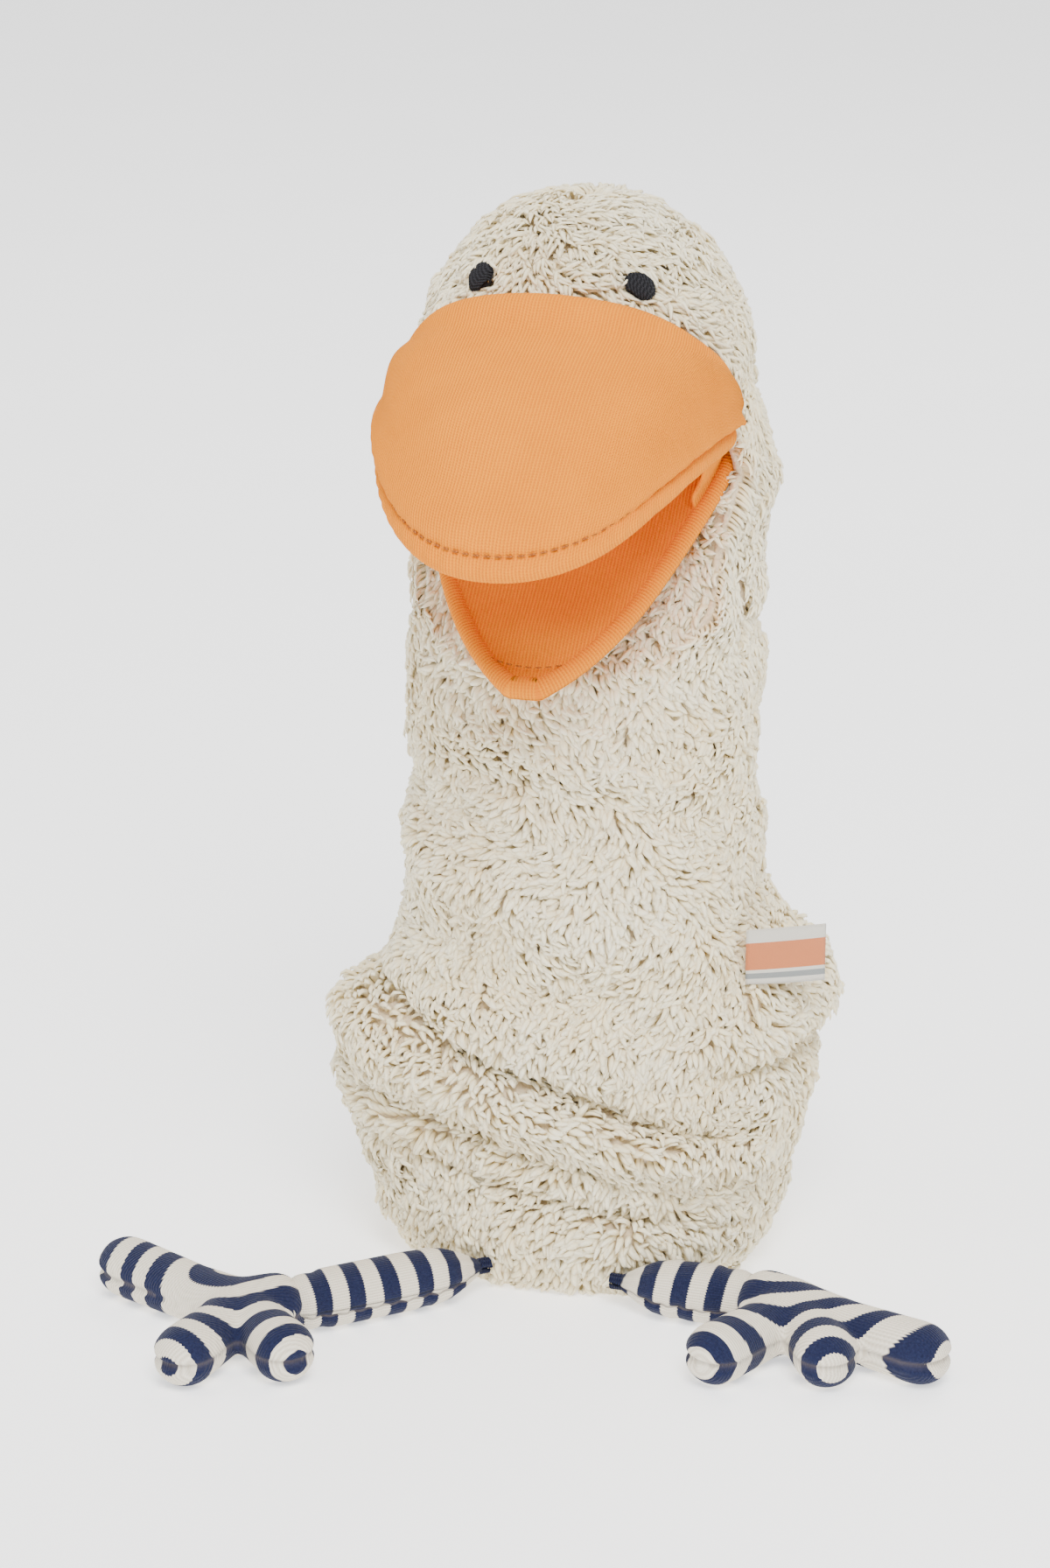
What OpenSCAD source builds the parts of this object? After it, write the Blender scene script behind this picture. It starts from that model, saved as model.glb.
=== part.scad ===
// Goose hand puppet: plush sleeve, padded jersey beak with a hinged mouth, knitted legs.
// Millimetres. +Z up, the goose faces -Y. The origin is the middle of the hem, on the floor.
// Left and right are as seen from the front.

/* [Sleeve] */
// Height from the hem to the crown
total_h = 346; // [340:1:352]
// Width over the widest fold of the bag
bag_w = 150; // [144:1:156]
// Depth over the widest fold of the bag
bag_d = 110; // [106:1:112]
// Width of the hem
hem_w = 118; // [114:1:122]
// Depth of the hem
hem_d = 92; // [88:1:94]
// Width of the neck
neck_w = 108; // [107:1:112]
// Depth of the neck
neck_d = 96; // [94:1:100]
// Thickness of the plush with its pile
plush_t = 9; // [8:0.5:9.5]

/* [Sleeve joints] */
// Height of the waist bend
waist_z = 132; // [130:1:134]
// Height of the neck twist
twist_z = 160; // [158:1:161]
// Height of the head nod
nod_z = 192; // [190:1:193]
// Height of the loose plush at the waist
waist_gap = 20; // [18:1:21]
// Height of the loose plush at the twist
twist_gap = 6; // [5:1:7]
// Height of the loose plush at the nod
nod_gap = 24; // [22:1:25]

/* [Head] */
// Angle by which the head is turned to the left
head_turn = 0; // [0:1:8]
// Height of the mouth crease
mouth_z = 269; // [268:0.5:270]
// Distance of the mouth crease in front of the sleeve's middle
mouth_y = 5; // [4:0.5:6]
// Height of the middle of the seam between beak and forehead
arch_z = 318.5; // [317.5:0.5:320]
// Sideways distance of each eye from the middle
eye_x = 24; // [22:0.5:25]
// Diameter of an embroidered eye
eye_d = 8; // [6:0.5:8.5]

/* [Beak] */
// Width of the upper beak
beak_w = 104; // [102:1:105]
// Reach of the upper beak in front of the sleeve's middle
beak_reach = 115; // [112:1:117]
// Height of the rim band round the upper beak
rim_h = 7; // [6.5:0.5:8]
// Thickness of the jersey with its backing
jersey_t = 2.4; // [2.2:0.1:2.6]
// Length of the lower beak from the crease
jaw_len = 92; // [90:1:94]
// Width of the lower beak
jaw_w = 86; // [84:1:87]
// Angle at which the lower beak hangs
jaw_drop = 41; // [40:1:42]

/* [Legs] */
// Diameter of a stuffed leg or toe
leg_d = 18.6; // [17:0.2:19]
// Thickness of the knitted cover
knit_t = 1.6; // [1.2:0.1:2]
// Distance of the hips in front of the sleeve's middle
hip_y = 52.5; // [52:0.5:54]
// Half the distance between the hips
hip_x = 21; // [20:0.5:22]
// Distance by which the hips sit to the right of the middle
hip_shift = 3; // [2:0.5:4]

/* [Label] */
// Width of the woven tab outside the seam
label_w = 21; // [16:1:22]
// Height of the woven tab
label_h = 18; // [14:1:18]

/* [Hidden] */

// Colours
CREAM = "#EEE8D7";
ORANGE = "#F9A82B";
NAVY = "#232846";
WOOL = "#F6F1E4";
BLACK = "#161616";

// Clearance between pieces side by side, and between pieces that are sewn together
gap = 0.4;
seat = 0.1;

// The sleeve is a stack of rounded-rectangle sections. Up to dome_z it is a tube, and above it
// the sections close to a dome.
dome_z = 0.84 * total_h;
dome_h = total_h - dome_z;
squareness = 2.5;
HALF_W = [[0, hem_w / 2], [0.05 * total_h, 0.44 * bag_w], [0.15 * total_h, 0.495 * bag_w],
          [0.24 * total_h, bag_w / 2], [0.29 * total_h, 0.56 * neck_w],
          [0.36 * total_h, 0.54 * neck_w], [0.5 * total_h, 0.52 * neck_w],
          [0.62 * total_h, 0.5 * neck_w], [0.74 * total_h, 0.52 * neck_w],
          [dome_z, 0.485 * neck_w]];
HALF_D = [[0, hem_d / 2], [0.05 * total_h, 0.46 * bag_d], [0.15 * total_h, 0.495 * bag_d],
          [0.24 * total_h, bag_d / 2], [0.29 * total_h, 0.53 * neck_d],
          [0.36 * total_h, 0.51 * neck_d], [0.5 * total_h, neck_d / 2],
          [dome_z, 0.49 * neck_d]];

// Angles round the sleeve: 0 points along +X, 90 to the back, 270 to the front
right_seam = -22;
left_seam = 200;
front = 270;
// Angles away from the front: the mouth corners, and where the side plush reaches full length
corner_a = 72;
cheek_a = 94;
corner_z = mouth_z + 15;

// Levels where one stretch of the sleeve ends and the next begins
waist_low = waist_z - waist_gap / 2;
waist_high = waist_z + waist_gap / 2;
twist_low = twist_z - twist_gap / 2;
twist_high = twist_z + twist_gap / 2;
nod_low = nod_z - nod_gap / 2;
nod_high = nod_z + nod_gap / 2;

function rounded(c, n) = sign(c) * pow(abs(c), 2 / n);
function steps(n) = [for (i = [0 : n]) i / n];
function mix(a, b, t) = a + (b - a) * t;
function flat(rows) = [for (row = rows) each row];
function turned(face, over) = over ? [face[2], face[1], face[0]] : face;

// Station of a height: below 1 on the tube, from 1 to 2 over the dome
function station(z) = z < dome_z ? z / dome_z : 1 + asin((z - dome_z) / dome_h) / 90;
// A point of the sleeve at a station and an angle, set in from the outside
function sleeve(t, a, inset) =
    let (z = min(t, 1) * dome_z,
         c = t < 1 ? 1 : max(cos((t - 1) * 90), 0.03),
         rise = t < 1 ? 0 : (dome_h - inset) * sin((t - 1) * 90))
    [(lookup(z, HALF_W) - inset) * c * rounded(cos(a), squareness),
     (lookup(z, HALF_D) - inset) * c * rounded(sin(a), squareness), z + rise];

// Closed slab between two grids of points with the same rows and columns. The outer grid's rows
// rise and its columns run anticlockwise as seen from above.
module slab(outer, inner) {
    r = len(outer);
    c = len(outer[0]);
    n = r * c;
    function cell(a, over) = [turned([a, a + c + 1, a + 1], over),
                              turned([a, a + c, a + c + 1], over)];
    function edge(a, b, over) = [turned([a, b, b + n], over), turned([a, b + n, a + n], over)];
    faces = [for (i = [0 : r - 2], j = [0 : c - 2]) each cell(i * c + j, false),
             for (i = [0 : r - 2], j = [0 : c - 2]) each cell(n + i * c + j, true),
             for (i = [0 : r - 2]) each edge(i * c, (i + 1) * c, true),
             for (i = [0 : r - 2]) each edge((i + 1) * c - 1, (i + 2) * c - 1, false),
             for (j = [0 : c - 2]) each edge(j, j + 1, false),
             for (j = [0 : c - 2]) each edge((r - 1) * c + j, (r - 1) * c + j + 1, true)];
    polyhedron(flat(concat(outer, inner)), faces);
}

// Closed solid through rings of points, from the lowest to the highest. With middles, the two
// end faces fan out from those points.
module loft(rings, middles = []) {
    r = len(rings);
    c = len(rings[0]);
    n = r * c;
    top = n - c;
    ends = len(middles) == 0
        ? [[for (j = [0 : c - 1]) j], [for (j = [c - 1 : -1 : 0]) top + j]]
        : [for (j = [0 : c - 1]) let (k = (j + 1) % c)
              each [[j, k, n], [top + k, top + j, n + 1]]];
    faces = [each ends,
             for (i = [0 : r - 2], j = [0 : c - 1])
                 let (a = i * c + j, b = i * c + (j + 1) % c)
                 each [[a, b + c, b], [a, a + c, b + c]]];
    polyhedron(concat(flat(rings), middles), faces);
}

// Closed cup: the wall between outer and inner rings, which run from its rim to its floor. The
// floor's two faces fan out from the two middles.
module cup(outer, inner, middles, down) {
    r = len(outer);
    c = len(outer[0]);
    n = r * c;
    function wall(a, b, over) = down
        ? [turned([a, a + c, b], over), turned([b, a + c, b + c], over)]
        : [turned([a, b + c, b], over), turned([a, a + c, b + c], over)];
    function next(j) = (j + 1) % c;
    faces = [for (i = [0 : r - 2], j = [0 : c - 1]) each wall(i * c + j, i * c + next(j), down),
             for (i = [0 : r - 2], j = [0 : c - 1])
                 each wall(n + i * c + j, n + i * c + next(j), !down),
             for (j = [0 : c - 1]) each [turned([j, next(j), n + next(j)], down),
                                         turned([j, n + next(j), n + j], down)],
             for (j = [0 : c - 1]) turned([n - c + next(j), n - c + j, 2 * n], down),
             for (j = [0 : c - 1]) turned([2 * n - c + j, 2 * n - c + next(j), 2 * n + 1], down)];
    polyhedron(concat(flat(outer), flat(inner), middles), faces);
}

// Plush panel between two heights and two angles
module plush(z0, z1, a0, a1, rows, cols) {
    function grid(inset) = [for (v = steps(rows))
        [for (u = steps(cols)) sleeve(station(mix(z0, z1, v)), mix(a0, a1, u), inset)]];
    color(CREAM) slab(grid(0), grid(plush_t));
}
module back_plush(z0, z1, rows) { plush(z0, z1, right_seam, left_seam, rows, 18); }
module front_plush(z0, z1, rows) { plush(z0, z1, left_seam, 360 + right_seam, rows, 14); }
module plush_ring(z0, z1, rows) {
    back_plush(z0 + seat, z1 - seat, rows);
    front_plush(z0 + seat, z1 - seat, rows);
}

// Bag
module bag_front_panel() { front_plush(0, waist_low, 8); }
module bag_back_panel() { back_plush(0, waist_low, 8); }

// Seam allowances stand into the bag along the side seams
allowance = 7;
facing_h = 16;
facing_t = 1.2;
module side_seam(a, half_t) {
    function strip(side) = [for (v = steps(5)) [for (u = [0, 1])
        sleeve(station(mix(facing_h + 1, waist_low - 3, v)), a, plush_t + 4 * gap + u * allowance)
        + [0, side, 0]]];
    color(CREAM) slab(strip(-half_t), strip(half_t));
}
module side_seam_left() { side_seam(left_seam, 1); }
module side_seam_right() { side_seam(right_seam, -1); }

// Jersey band inside the arm opening
module hem_facing() {
    function rings(inset, lift) = [for (k = [-1 : 1]) [for (a = [0 : 12 : 348])
        sleeve((1 + k) * facing_h / 2 / dome_z, a, inset) + [0, 0, k * lift]]];
    color(WOOL) difference() {
        loft(rings(plush_t + gap, 0));
        loft(rings(plush_t + gap + facing_t, 1));
    }
}

// Woven tab sewn into the right side seam
label_z = 0.295 * total_h;
label_t = 1.2;
label_lean = 20;
module label_tab() {
    root = sleeve(station(label_z + label_h / 2), right_seam, -3.2);
    color(CREAM) translate([root.x, root.y, label_z]) rotate([0, 0, label_lean])
        translate([0, -label_t / 2, 0]) cube([label_w, label_t, label_h]);
}

// Neck
module waist_fold() { plush_ring(waist_low, waist_high, 3); }
module neck_lower_front() { front_plush(waist_high, twist_low, 3); }
module neck_lower_back() { back_plush(waist_high, twist_low, 3); }
module neck_fold() { plush_ring(twist_low, twist_high, 1); }
module neck_upper_front() { front_plush(twist_high, nod_low, 3); }
module neck_upper_back() { back_plush(twist_high, nod_low, 3); }
module nape_fold() { plush_ring(nod_low, nod_high, 3); }

// The head's pieces are drawn looking straight ahead and then turned
module head_pose() { rotate([0, 0, -head_turn]) children(); }

// Lower edge of the crown plush at an angle away from the front: the seam with the beak, then
// the mouth corner, then the side and the back of the head
function crown_low(away) =
    away < corner_a ? mix(corner_z, arch_z, pow(max(cos(away * 90 / corner_a), 0), 0.35))
    : away < cheek_a ? mix(corner_z, nod_high, (away - corner_a) / (cheek_a - corner_a))
    : nod_high;
module crown(a0, a1) {
    function grid(inset) = [for (v = steps(8)) [for (u = steps(30))
        let (a = mix(a0, a1, u), off = abs(a - front), away = off > 180 ? 360 - off : off)
        sleeve(mix(station(crown_low(away)), 2, v), a, inset)]];
    color(CREAM) slab(grid(0), grid(plush_t));
}
// An eye's axis leans forward and outward
eye_y = 35;
eye_z = 321.5;
eye_len = 6;
module eye_place(side) {
    translate([side * eye_x, -eye_y, eye_z]) rotate([51, side * 42, 0]) children();
}
module eye_bores() {
    for (side = [-1, 1]) eye_place(side) cylinder(d = eye_d + 2 * gap, h = 40, center = true, $fn = 48);
}
module crown_left() { head_pose() difference() { crown(90, front); eye_bores(); } }
module crown_right() { head_pose() difference() { crown(front, 450); eye_bores(); } }
module eye(side) {
    color(BLACK) head_pose() eye_place(side)
        translate([0, 0, -eye_len - 1.5]) cylinder(d = eye_d, h = eye_len, $fn = 48);
}
module eye_left() { eye(-1); }
module eye_right() { eye(1); }

// Throat plush under the lower beak
throat_a = 82;
module throat_fold() {
    function high(away) = mix(nod_high + 2, mouth_z - 17, pow(1 - cos(away), 1.6));
    function grid(inset) = [for (v = [0, 0.5, 1]) [for (u = steps(24))
        let (away = mix(-throat_a, throat_a, u))
        sleeve(station(mix(nod_high, high(away), v)), front + away, inset)]];
    color(CREAM) head_pose() slab(grid(0), grid(plush_t));
}

// Pocket for the fingers, open to the back
pocket_w = 60;
pocket_h = 13;
pocket_front = 64;
pocket_back = 2;
pocket_low = mouth_z + 9;
pocket_t = 1.2;
module pocket_block(grow) {
    w = pocket_w + 2 * grow;
    translate([-w / 2, -pocket_front - grow, pocket_low + pocket_t - grow])
        cube([w, pocket_front + pocket_back + grow, pocket_h + 2 * grow]);
}
module finger_pocket() {
    color(ORANGE) head_pose() difference() {
        pocket_block(pocket_t);
        translate([0, 2 * pocket_t, 0]) pocket_block(0);
        pocket_block(0);
    }
}

// Wool above the hand
module crown_filling() {
    low = station(pocket_low + pocket_h + 8);
    rings = [for (t = steps(8)) [for (a = [0 : 15 : 345]) sleeve(mix(low, 1.92, t), a, plush_t + 5)]];
    color(WOOL) head_pose() loft(rings);
}

// Upper beak: a U-shaped outline, and a top panel from the forehead seam down to it
beak_root = 20;
beak_round = 2.15;
function outline(s, inset) =
    [(beak_w / 2 - inset) * rounded(sin(90 * s), beak_round),
     -beak_root - (beak_reach - beak_root - inset) * rounded(cos(90 * s), beak_round)];
// Height of the mouth line along the upper beak
function mouth_line(y) = mouth_z + lookup(-y, [[0, 2], [45, 4], [80, -2], [beak_reach, -16]]);
// Point of the top panel: s runs across from -1 to 1, v from the rim to the forehead seam
function beak_top(s, v, inset) =
    let (root = sleeve(station(crown_low(abs(s) * corner_a) - gap), front + s * corner_a, inset),
         rim = outline(s, inset),
         crest = sin(180 * v) * (11 - 5 * abs(s)) - 0.8 * inset)
    mix([rim.x, rim.y, mouth_line(rim.y) + rim_h], root, v)
    + [0.5 * s * max(crest, 0), -0.5 * max(crest, 0), 0.8 * crest];
module upper_beak_top() {
    function grid(inset) = [for (v = steps(8)) [for (s = steps(20)) beak_top(2 * s - 1, v, inset)]];
    color(ORANGE) head_pose() slab(grid(0), grid(jersey_t));
}
module upper_beak_rim() {
    function wall(inset) = [for (v = [0, 1]) [for (s = steps(28))
        let (p = outline(2 * s - 1, inset))
        [p.x, p.y, mouth_line(p.y) + v * (rim_h - jersey_t)]]];
    color(ORANGE) head_pose() slab(wall(0), wall(jersey_t + 0.2));
}
// Roof of the mouth: from the tip back to the crease
palate_t = 2;
palate_w = 88;
module palate() {
    inset = jersey_t + gap;
    front_rows = [for (s = [0.04 : 0.08 : 1]) outline(s, inset)];
    rows = concat(front_rows, [[palate_w / 2, 1 - beak_root], [palate_w / 2, -mouth_y - 4]]);
    function sheet(lift) = [for (p = rows) [for (t = [-1 : 0.25 : 1])
        [t * p.x, p.y, mouth_line(p.y) + lift]]];
    color(ORANGE) head_pose() slab(sheet(palate_t), sheet(0));
}
module upper_beak_filling() {
    inset = jersey_t + 3 * gap;
    top = [for (v = steps(8)) [for (s = steps(16)) beak_top(1.9 * s - 0.95, 0.03 + 0.94 * v, inset)]];
    base = [for (row = top) [for (p = row) [p.x, p.y, mouth_line(p.y) + palate_t + 1.3]]];
    color(WOOL) head_pose() difference() {
        slab(top, base);
        pocket_block(pocket_t + seat);
        translate([0, 30, 0]) pocket_block(pocket_t + seat);
    }
}
// The rolled seam at the back of the mouth, where the two beaks hinge
module mouth_seam() {
    color(ORANGE) head_pose() translate([0, -mouth_y, mouth_z]) rotate([0, 90, 0])
        cylinder(d = 4, h = jaw_w - 4, center = true, $fn = 48);
}

// Lower beak, drawn level with its crease on the X axis and then hung at its angle
module jaw_pose() {
    head_pose() translate([0, -mouth_y, mouth_z]) rotate([jaw_drop, 0, 0]) children();
}
edge_d = 5;
jaw_root = 8;
lining_t = 2;
function jaw_half(l) = jaw_w / 2 * pow(1 - pow(l / jaw_len, 2), 0.65);
function jaw_depth(l) = lookup(l, [[0, 21], [50, 18], [80, 9], [jaw_len, 4]]);
// Point of a surface of the lower beak: t runs across from -1 to 1, and drop is its height below
// the inner face at the edges and in the middle
function jaw_point(l, t, edge_drop, middle_drop) =
    [t * (jaw_half(l) - edge_d - 1.8), -l,
     -edge_drop - (middle_drop - edge_drop) * sqrt(1 - pow(abs(t), 2.5))];
function jaw_grid(edge_drop, from_cover, middle_drop) = [for (u = steps(10)) [for (v = steps(14))
    let (l = mix(0.92 * jaw_len, jaw_root, u))
    jaw_point(l, 2 * v - 1, edge_drop,
              from_cover ? jaw_depth(l) + middle_drop : middle_drop)]];
module lower_beak_lining() {
    color(ORANGE) jaw_pose() slab(jaw_grid(0, false, 1.5), jaw_grid(lining_t, false, lining_t + 1.5));
}
module lower_beak_cover() {
    color(ORANGE) jaw_pose() slab(jaw_grid(lining_t + 0.5, true, 2.4), jaw_grid(4.9, true, 4.8));
}
module lower_beak_filling() {
    color(WOOL) jaw_pose() difference() {
        slab(jaw_grid(lining_t + 0.1, false, lining_t + 1.6), jaw_grid(lining_t + 0.4, true, 2.2));
        thumb_block(pocket_t + seat);
    }
}
// Pocket for the thumb, open to the back
thumb_w = 26;
thumb_h = 11;
thumb_front = 46;
module thumb_block(grow) {
    w = thumb_w + 2 * grow;
    translate([-w / 2, -thumb_front - grow, -4.2 - pocket_t - thumb_h - grow])
        cube([w, thumb_front - jaw_root + 1 + grow, thumb_h + 2 * grow]);
}
module thumb_pocket() {
    color(ORANGE) jaw_pose() difference() {
        thumb_block(pocket_t);
        thumb_block(0);
        translate([0, 4, 0]) thumb_block(0);
    }
}
// Rolled edge round the lower beak
module lower_beak_edge() {
    path = [for (u = steps(36)) let (a = mix(-1, 1, u), l = jaw_root + (jaw_len - jaw_root - 2.5) * cos(90 * a))
        [sign(a) * (jaw_half(l) - edge_d / 2), -l]];
    color(ORANGE) jaw_pose() loft([for (i = [0 : len(path) - 1])
        let (before = path[max(i - 1, 0)], after = path[min(i + 1, len(path) - 1)],
             run = (after - before) / norm(after - before))
        [for (k = [0 : 45 : 315])
            [path[i].x - run.y * edge_d / 2 * cos(k), path[i].y + run.x * edge_d / 2 * cos(k),
             -edge_d / 2 + edge_d / 2 * sin(k)]]]);
}

// Legs: [hip, heading, length, foot's heading, [[toe heading, toe reach], ...]]
leg_r = leg_d / 2;
LEFT = [[hip_shift - hip_x, -hip_y, leg_r], -141, 64, -145, [[155, 54], [-105, 41], [-45, 38]]];
RIGHT = [[hip_shift + hip_x, -hip_y, leg_r], -1, 43, -20, [[-120, 46], [-60, 38], [-20, 54]]];
ankle_room = 6;
foot_reach = 17;
stitch_d = 5;
module at_hip(leg) { translate(leg[0]) rotate([0, 0, leg[1]]) children(); }
module at_ankle(leg) {
    at_hip(leg) translate([leg[2], 0, 0]) rotate([0, 0, leg[3] - leg[1]]) children();
}
module hip_stitch(leg) {
    color(NAVY) at_hip(leg) cylinder(d = stitch_d, h = 9, center = true, $fn = 48);
}
// Leg revolved about its length: gathered to a point at the hip
module leg_body(leg, inset, end) {
    at_hip(leg) rotate([0, 90, 0]) rotate_extrude($fn = 64) polygon([
        [0, 3.5 + 2 * inset], [3.2 - inset, 3.5 + 2 * inset], [0.78 * leg_r - inset, 9 + inset],
        [leg_r - inset, 18 + inset], [leg_r - inset, end], [0, end]]);
}
module leg_tube(leg) {
    end = leg[2] - ankle_room;
    color(NAVY) difference() {
        leg_body(leg, 0, end);
        leg_body(leg, knit_t, end + 1);
    }
}
module leg_filling(leg) { color(WOOL) leg_body(leg, knit_t + seat, leg[2] - ankle_room - 0.5); }
module ankle_seam(leg) {
    color(NAVY) at_ankle(leg) rotate([90, 0, 0]) cylinder(d = stitch_d, h = 13, center = true, $fn = 48);
}
// Foot: round limbs that all lie on the floor and meet at its centre, built up from level rings.
// A ring is the outline of the limbs at one height, where they are r wide to each side.
function heading(a) = [cos(a), sin(a), 0];
function foot_centre(leg) = leg[0] + leg[2] * heading(leg[1]) + foot_reach * heading(leg[3]);
// Distance from the foot's centre to the side or the round end of a limb, off degrees from it
function limb_extent(off, length, r) =
    cos(off) < 0.01 ? r
    : abs(off) < 0.1 || r / abs(tan(off)) > length
        ? length * cos(off) + sqrt(max(r * r - pow(length * sin(off), 2), 0))
        : r / abs(sin(off));
function foot_ring(leg, inset, level, start) =
    let (r = (leg_r - inset) * cos(level), centre = foot_centre(leg),
         z = (leg_r - inset) * sin(level) / sin(75), back = leg[3] + 180)
    [for (a = [0 : 5 : 355]) let (
        off = back - a,
        stub = cos(off) < 0.01 ? r : min(r / max(abs(sin(off)), 0.001), (foot_reach - start) / cos(off)),
        far = max([r, stub, for (toe = leg[4]) limb_extent(toe[0] - a, toe[1] - leg_r, r)]))
        centre + far * heading(a) + [0, 0, z]];
// Points at the foot's centre, level with some of its rings
function foot_middles(leg, rings) =
    [for (ring = rings) [foot_centre(leg).x, foot_centre(leg).y, ring[0].z]];
module foot_half(leg, side) {
    levels = [0 : 25 : 75];
    outer = [for (k = levels) foot_ring(leg, 0, side * k, ankle_room)];
    inner = [for (k = levels) foot_ring(leg, knit_t, side * k, ankle_room + knit_t)];
    color(NAVY) cup(outer, inner, foot_middles(leg, [outer[3], inner[3]]), side < 0);
}
module foot_filling(leg) {
    inset = knit_t + 2 * gap;
    rings = [for (k = [-75 : 25 : 75]) foot_ring(leg, inset, k, ankle_room + inset)];
    color(WOOL) loft(rings, foot_middles(leg, [rings[0], rings[6]]));
}

module hip_stitch_left() { hip_stitch(LEFT); }
module leg_tube_left() { leg_tube(LEFT); }
module leg_filling_left() { leg_filling(LEFT); }
module ankle_seam_left() { ankle_seam(LEFT); }
module foot_upper_left() { foot_half(LEFT, 1); }
module foot_under_left() { foot_half(LEFT, -1); }
module foot_filling_left() { foot_filling(LEFT); }
module hip_stitch_right() { hip_stitch(RIGHT); }
module leg_tube_right() { leg_tube(RIGHT); }
module leg_filling_right() { leg_filling(RIGHT); }
module ankle_seam_right() { ankle_seam(RIGHT); }
module foot_upper_right() { foot_half(RIGHT, 1); }
module foot_under_right() { foot_half(RIGHT, -1); }
module foot_filling_right() { foot_filling(RIGHT); }

bag_front_panel();
bag_back_panel();
side_seam_left();
side_seam_right();
hem_facing();
label_tab();
waist_fold();
neck_lower_front();
neck_lower_back();
neck_fold();
neck_upper_front();
neck_upper_back();
nape_fold();
throat_fold();
crown_left();
crown_right();
crown_filling();
finger_pocket();
eye_left();
eye_right();
upper_beak_top();
upper_beak_rim();
palate();
upper_beak_filling();
mouth_seam();
lower_beak_cover();
lower_beak_lining();
lower_beak_edge();
lower_beak_filling();
thumb_pocket();
hip_stitch_left();
leg_tube_left();
leg_filling_left();
ankle_seam_left();
foot_upper_left();
foot_under_left();
foot_filling_left();
hip_stitch_right();
leg_tube_right();
leg_filling_right();
ankle_seam_right();
foot_upper_right();
foot_under_right();
foot_filling_right();
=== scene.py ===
"""Looks for a plush goose hand puppet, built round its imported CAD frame.

Lengths in the shape code are millimetres, as in the CAD design, and turn to metres in make_mesh().
"""

import math

import bpy
import numpy as np
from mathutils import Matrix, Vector


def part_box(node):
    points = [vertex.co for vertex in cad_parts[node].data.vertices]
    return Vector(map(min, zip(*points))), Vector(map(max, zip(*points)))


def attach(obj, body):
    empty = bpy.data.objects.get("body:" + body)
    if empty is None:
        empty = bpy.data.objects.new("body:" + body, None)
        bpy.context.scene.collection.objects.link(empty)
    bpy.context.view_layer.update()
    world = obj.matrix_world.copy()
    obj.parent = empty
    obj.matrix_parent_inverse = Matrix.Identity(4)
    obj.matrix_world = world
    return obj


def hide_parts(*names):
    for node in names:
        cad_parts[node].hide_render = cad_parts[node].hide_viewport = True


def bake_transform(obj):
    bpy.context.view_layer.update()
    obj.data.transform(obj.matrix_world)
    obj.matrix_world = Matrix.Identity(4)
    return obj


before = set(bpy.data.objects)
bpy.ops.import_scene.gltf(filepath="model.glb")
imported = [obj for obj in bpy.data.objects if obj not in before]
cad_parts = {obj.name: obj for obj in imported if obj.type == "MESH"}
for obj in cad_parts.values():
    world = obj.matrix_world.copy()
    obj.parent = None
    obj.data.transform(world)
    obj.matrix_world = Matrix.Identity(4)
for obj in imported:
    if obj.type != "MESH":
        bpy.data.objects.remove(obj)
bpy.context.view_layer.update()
MM = 0.001
rng = np.random.default_rng(11)

# ---------------------------------------------------------------- the CAD design's dimensions
TOTAL_H, BAG_W, BAG_D, HEM_W, HEM_D, NECK_W, NECK_D = 346, 150, 110, 118, 92, 108, 96
DOME_Z = 0.84 * TOTAL_H
DOME_H = TOTAL_H - DOME_Z
SQUARENESS = 2.5
HALF_W = np.array([
    [0, HEM_W / 2], [0.05 * TOTAL_H, 0.44 * BAG_W], [0.15 * TOTAL_H, 0.495 * BAG_W],
    [0.24 * TOTAL_H, BAG_W / 2], [0.29 * TOTAL_H, 0.56 * NECK_W], [0.36 * TOTAL_H, 0.54 * NECK_W],
    [0.5 * TOTAL_H, 0.52 * NECK_W], [0.62 * TOTAL_H, 0.5 * NECK_W], [0.74 * TOTAL_H, 0.52 * NECK_W],
    [DOME_Z, 0.485 * NECK_W],
])
HALF_D = np.array([
    [0, HEM_D / 2], [0.05 * TOTAL_H, 0.46 * BAG_D], [0.15 * TOTAL_H, 0.495 * BAG_D],
    [0.24 * TOTAL_H, BAG_D / 2], [0.29 * TOTAL_H, 0.53 * NECK_D], [0.36 * TOTAL_H, 0.51 * NECK_D],
    [0.5 * TOTAL_H, NECK_D / 2], [DOME_Z, 0.49 * NECK_D],
])
FRONT, RIGHT_SEAM, LEFT_SEAM = 270, -22, 200
CORNER_A, CHEEK_A, THROAT_A = 72, 94, 82
MOUTH_Y, MOUTH_Z, ARCH_Z = 5, 269, 318.5
CORNER_Z = MOUTH_Z + 15
EYE_AT, EYE_TILT, EYE_SPLAY = (24, -35, 321.5), 51, 42
EYE_SHIFT = (0, 2.2, -2.0)  # the stitching lies a little up the brow and down in the pile
BEAK_W, BEAK_REACH, BEAK_ROOT, BEAK_ROUND, RIM_H = 104, 115, 20, 2.15, 7
JAW_LEN, JAW_W, JAW_DROP, JAW_ROOT, EDGE_D = 92, 86, 41, 8, 5
LEG_R, FOOT_REACH = 9.3, 17
TOE_R, STUB_R = 1.07 * LEG_R, 11  # a stuffed toe, and the foot behind the ankle's crease
LEGS = {
    "left": {"hip": (-18, -52.5), "heading": -141, "length": 64, "foot": -145,
             "toes": [(156, 59), (-105, 41), (-45, 38)], "seam": -15, "phase": 1.5},
    "right": {"hip": (24, -52.5), "heading": -1, "length": 43, "foot": -20,
              "toes": [(-120, 46), (-60, 38), (-20, 54)], "seam": 195, "phase": 4.7},
}

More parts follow.
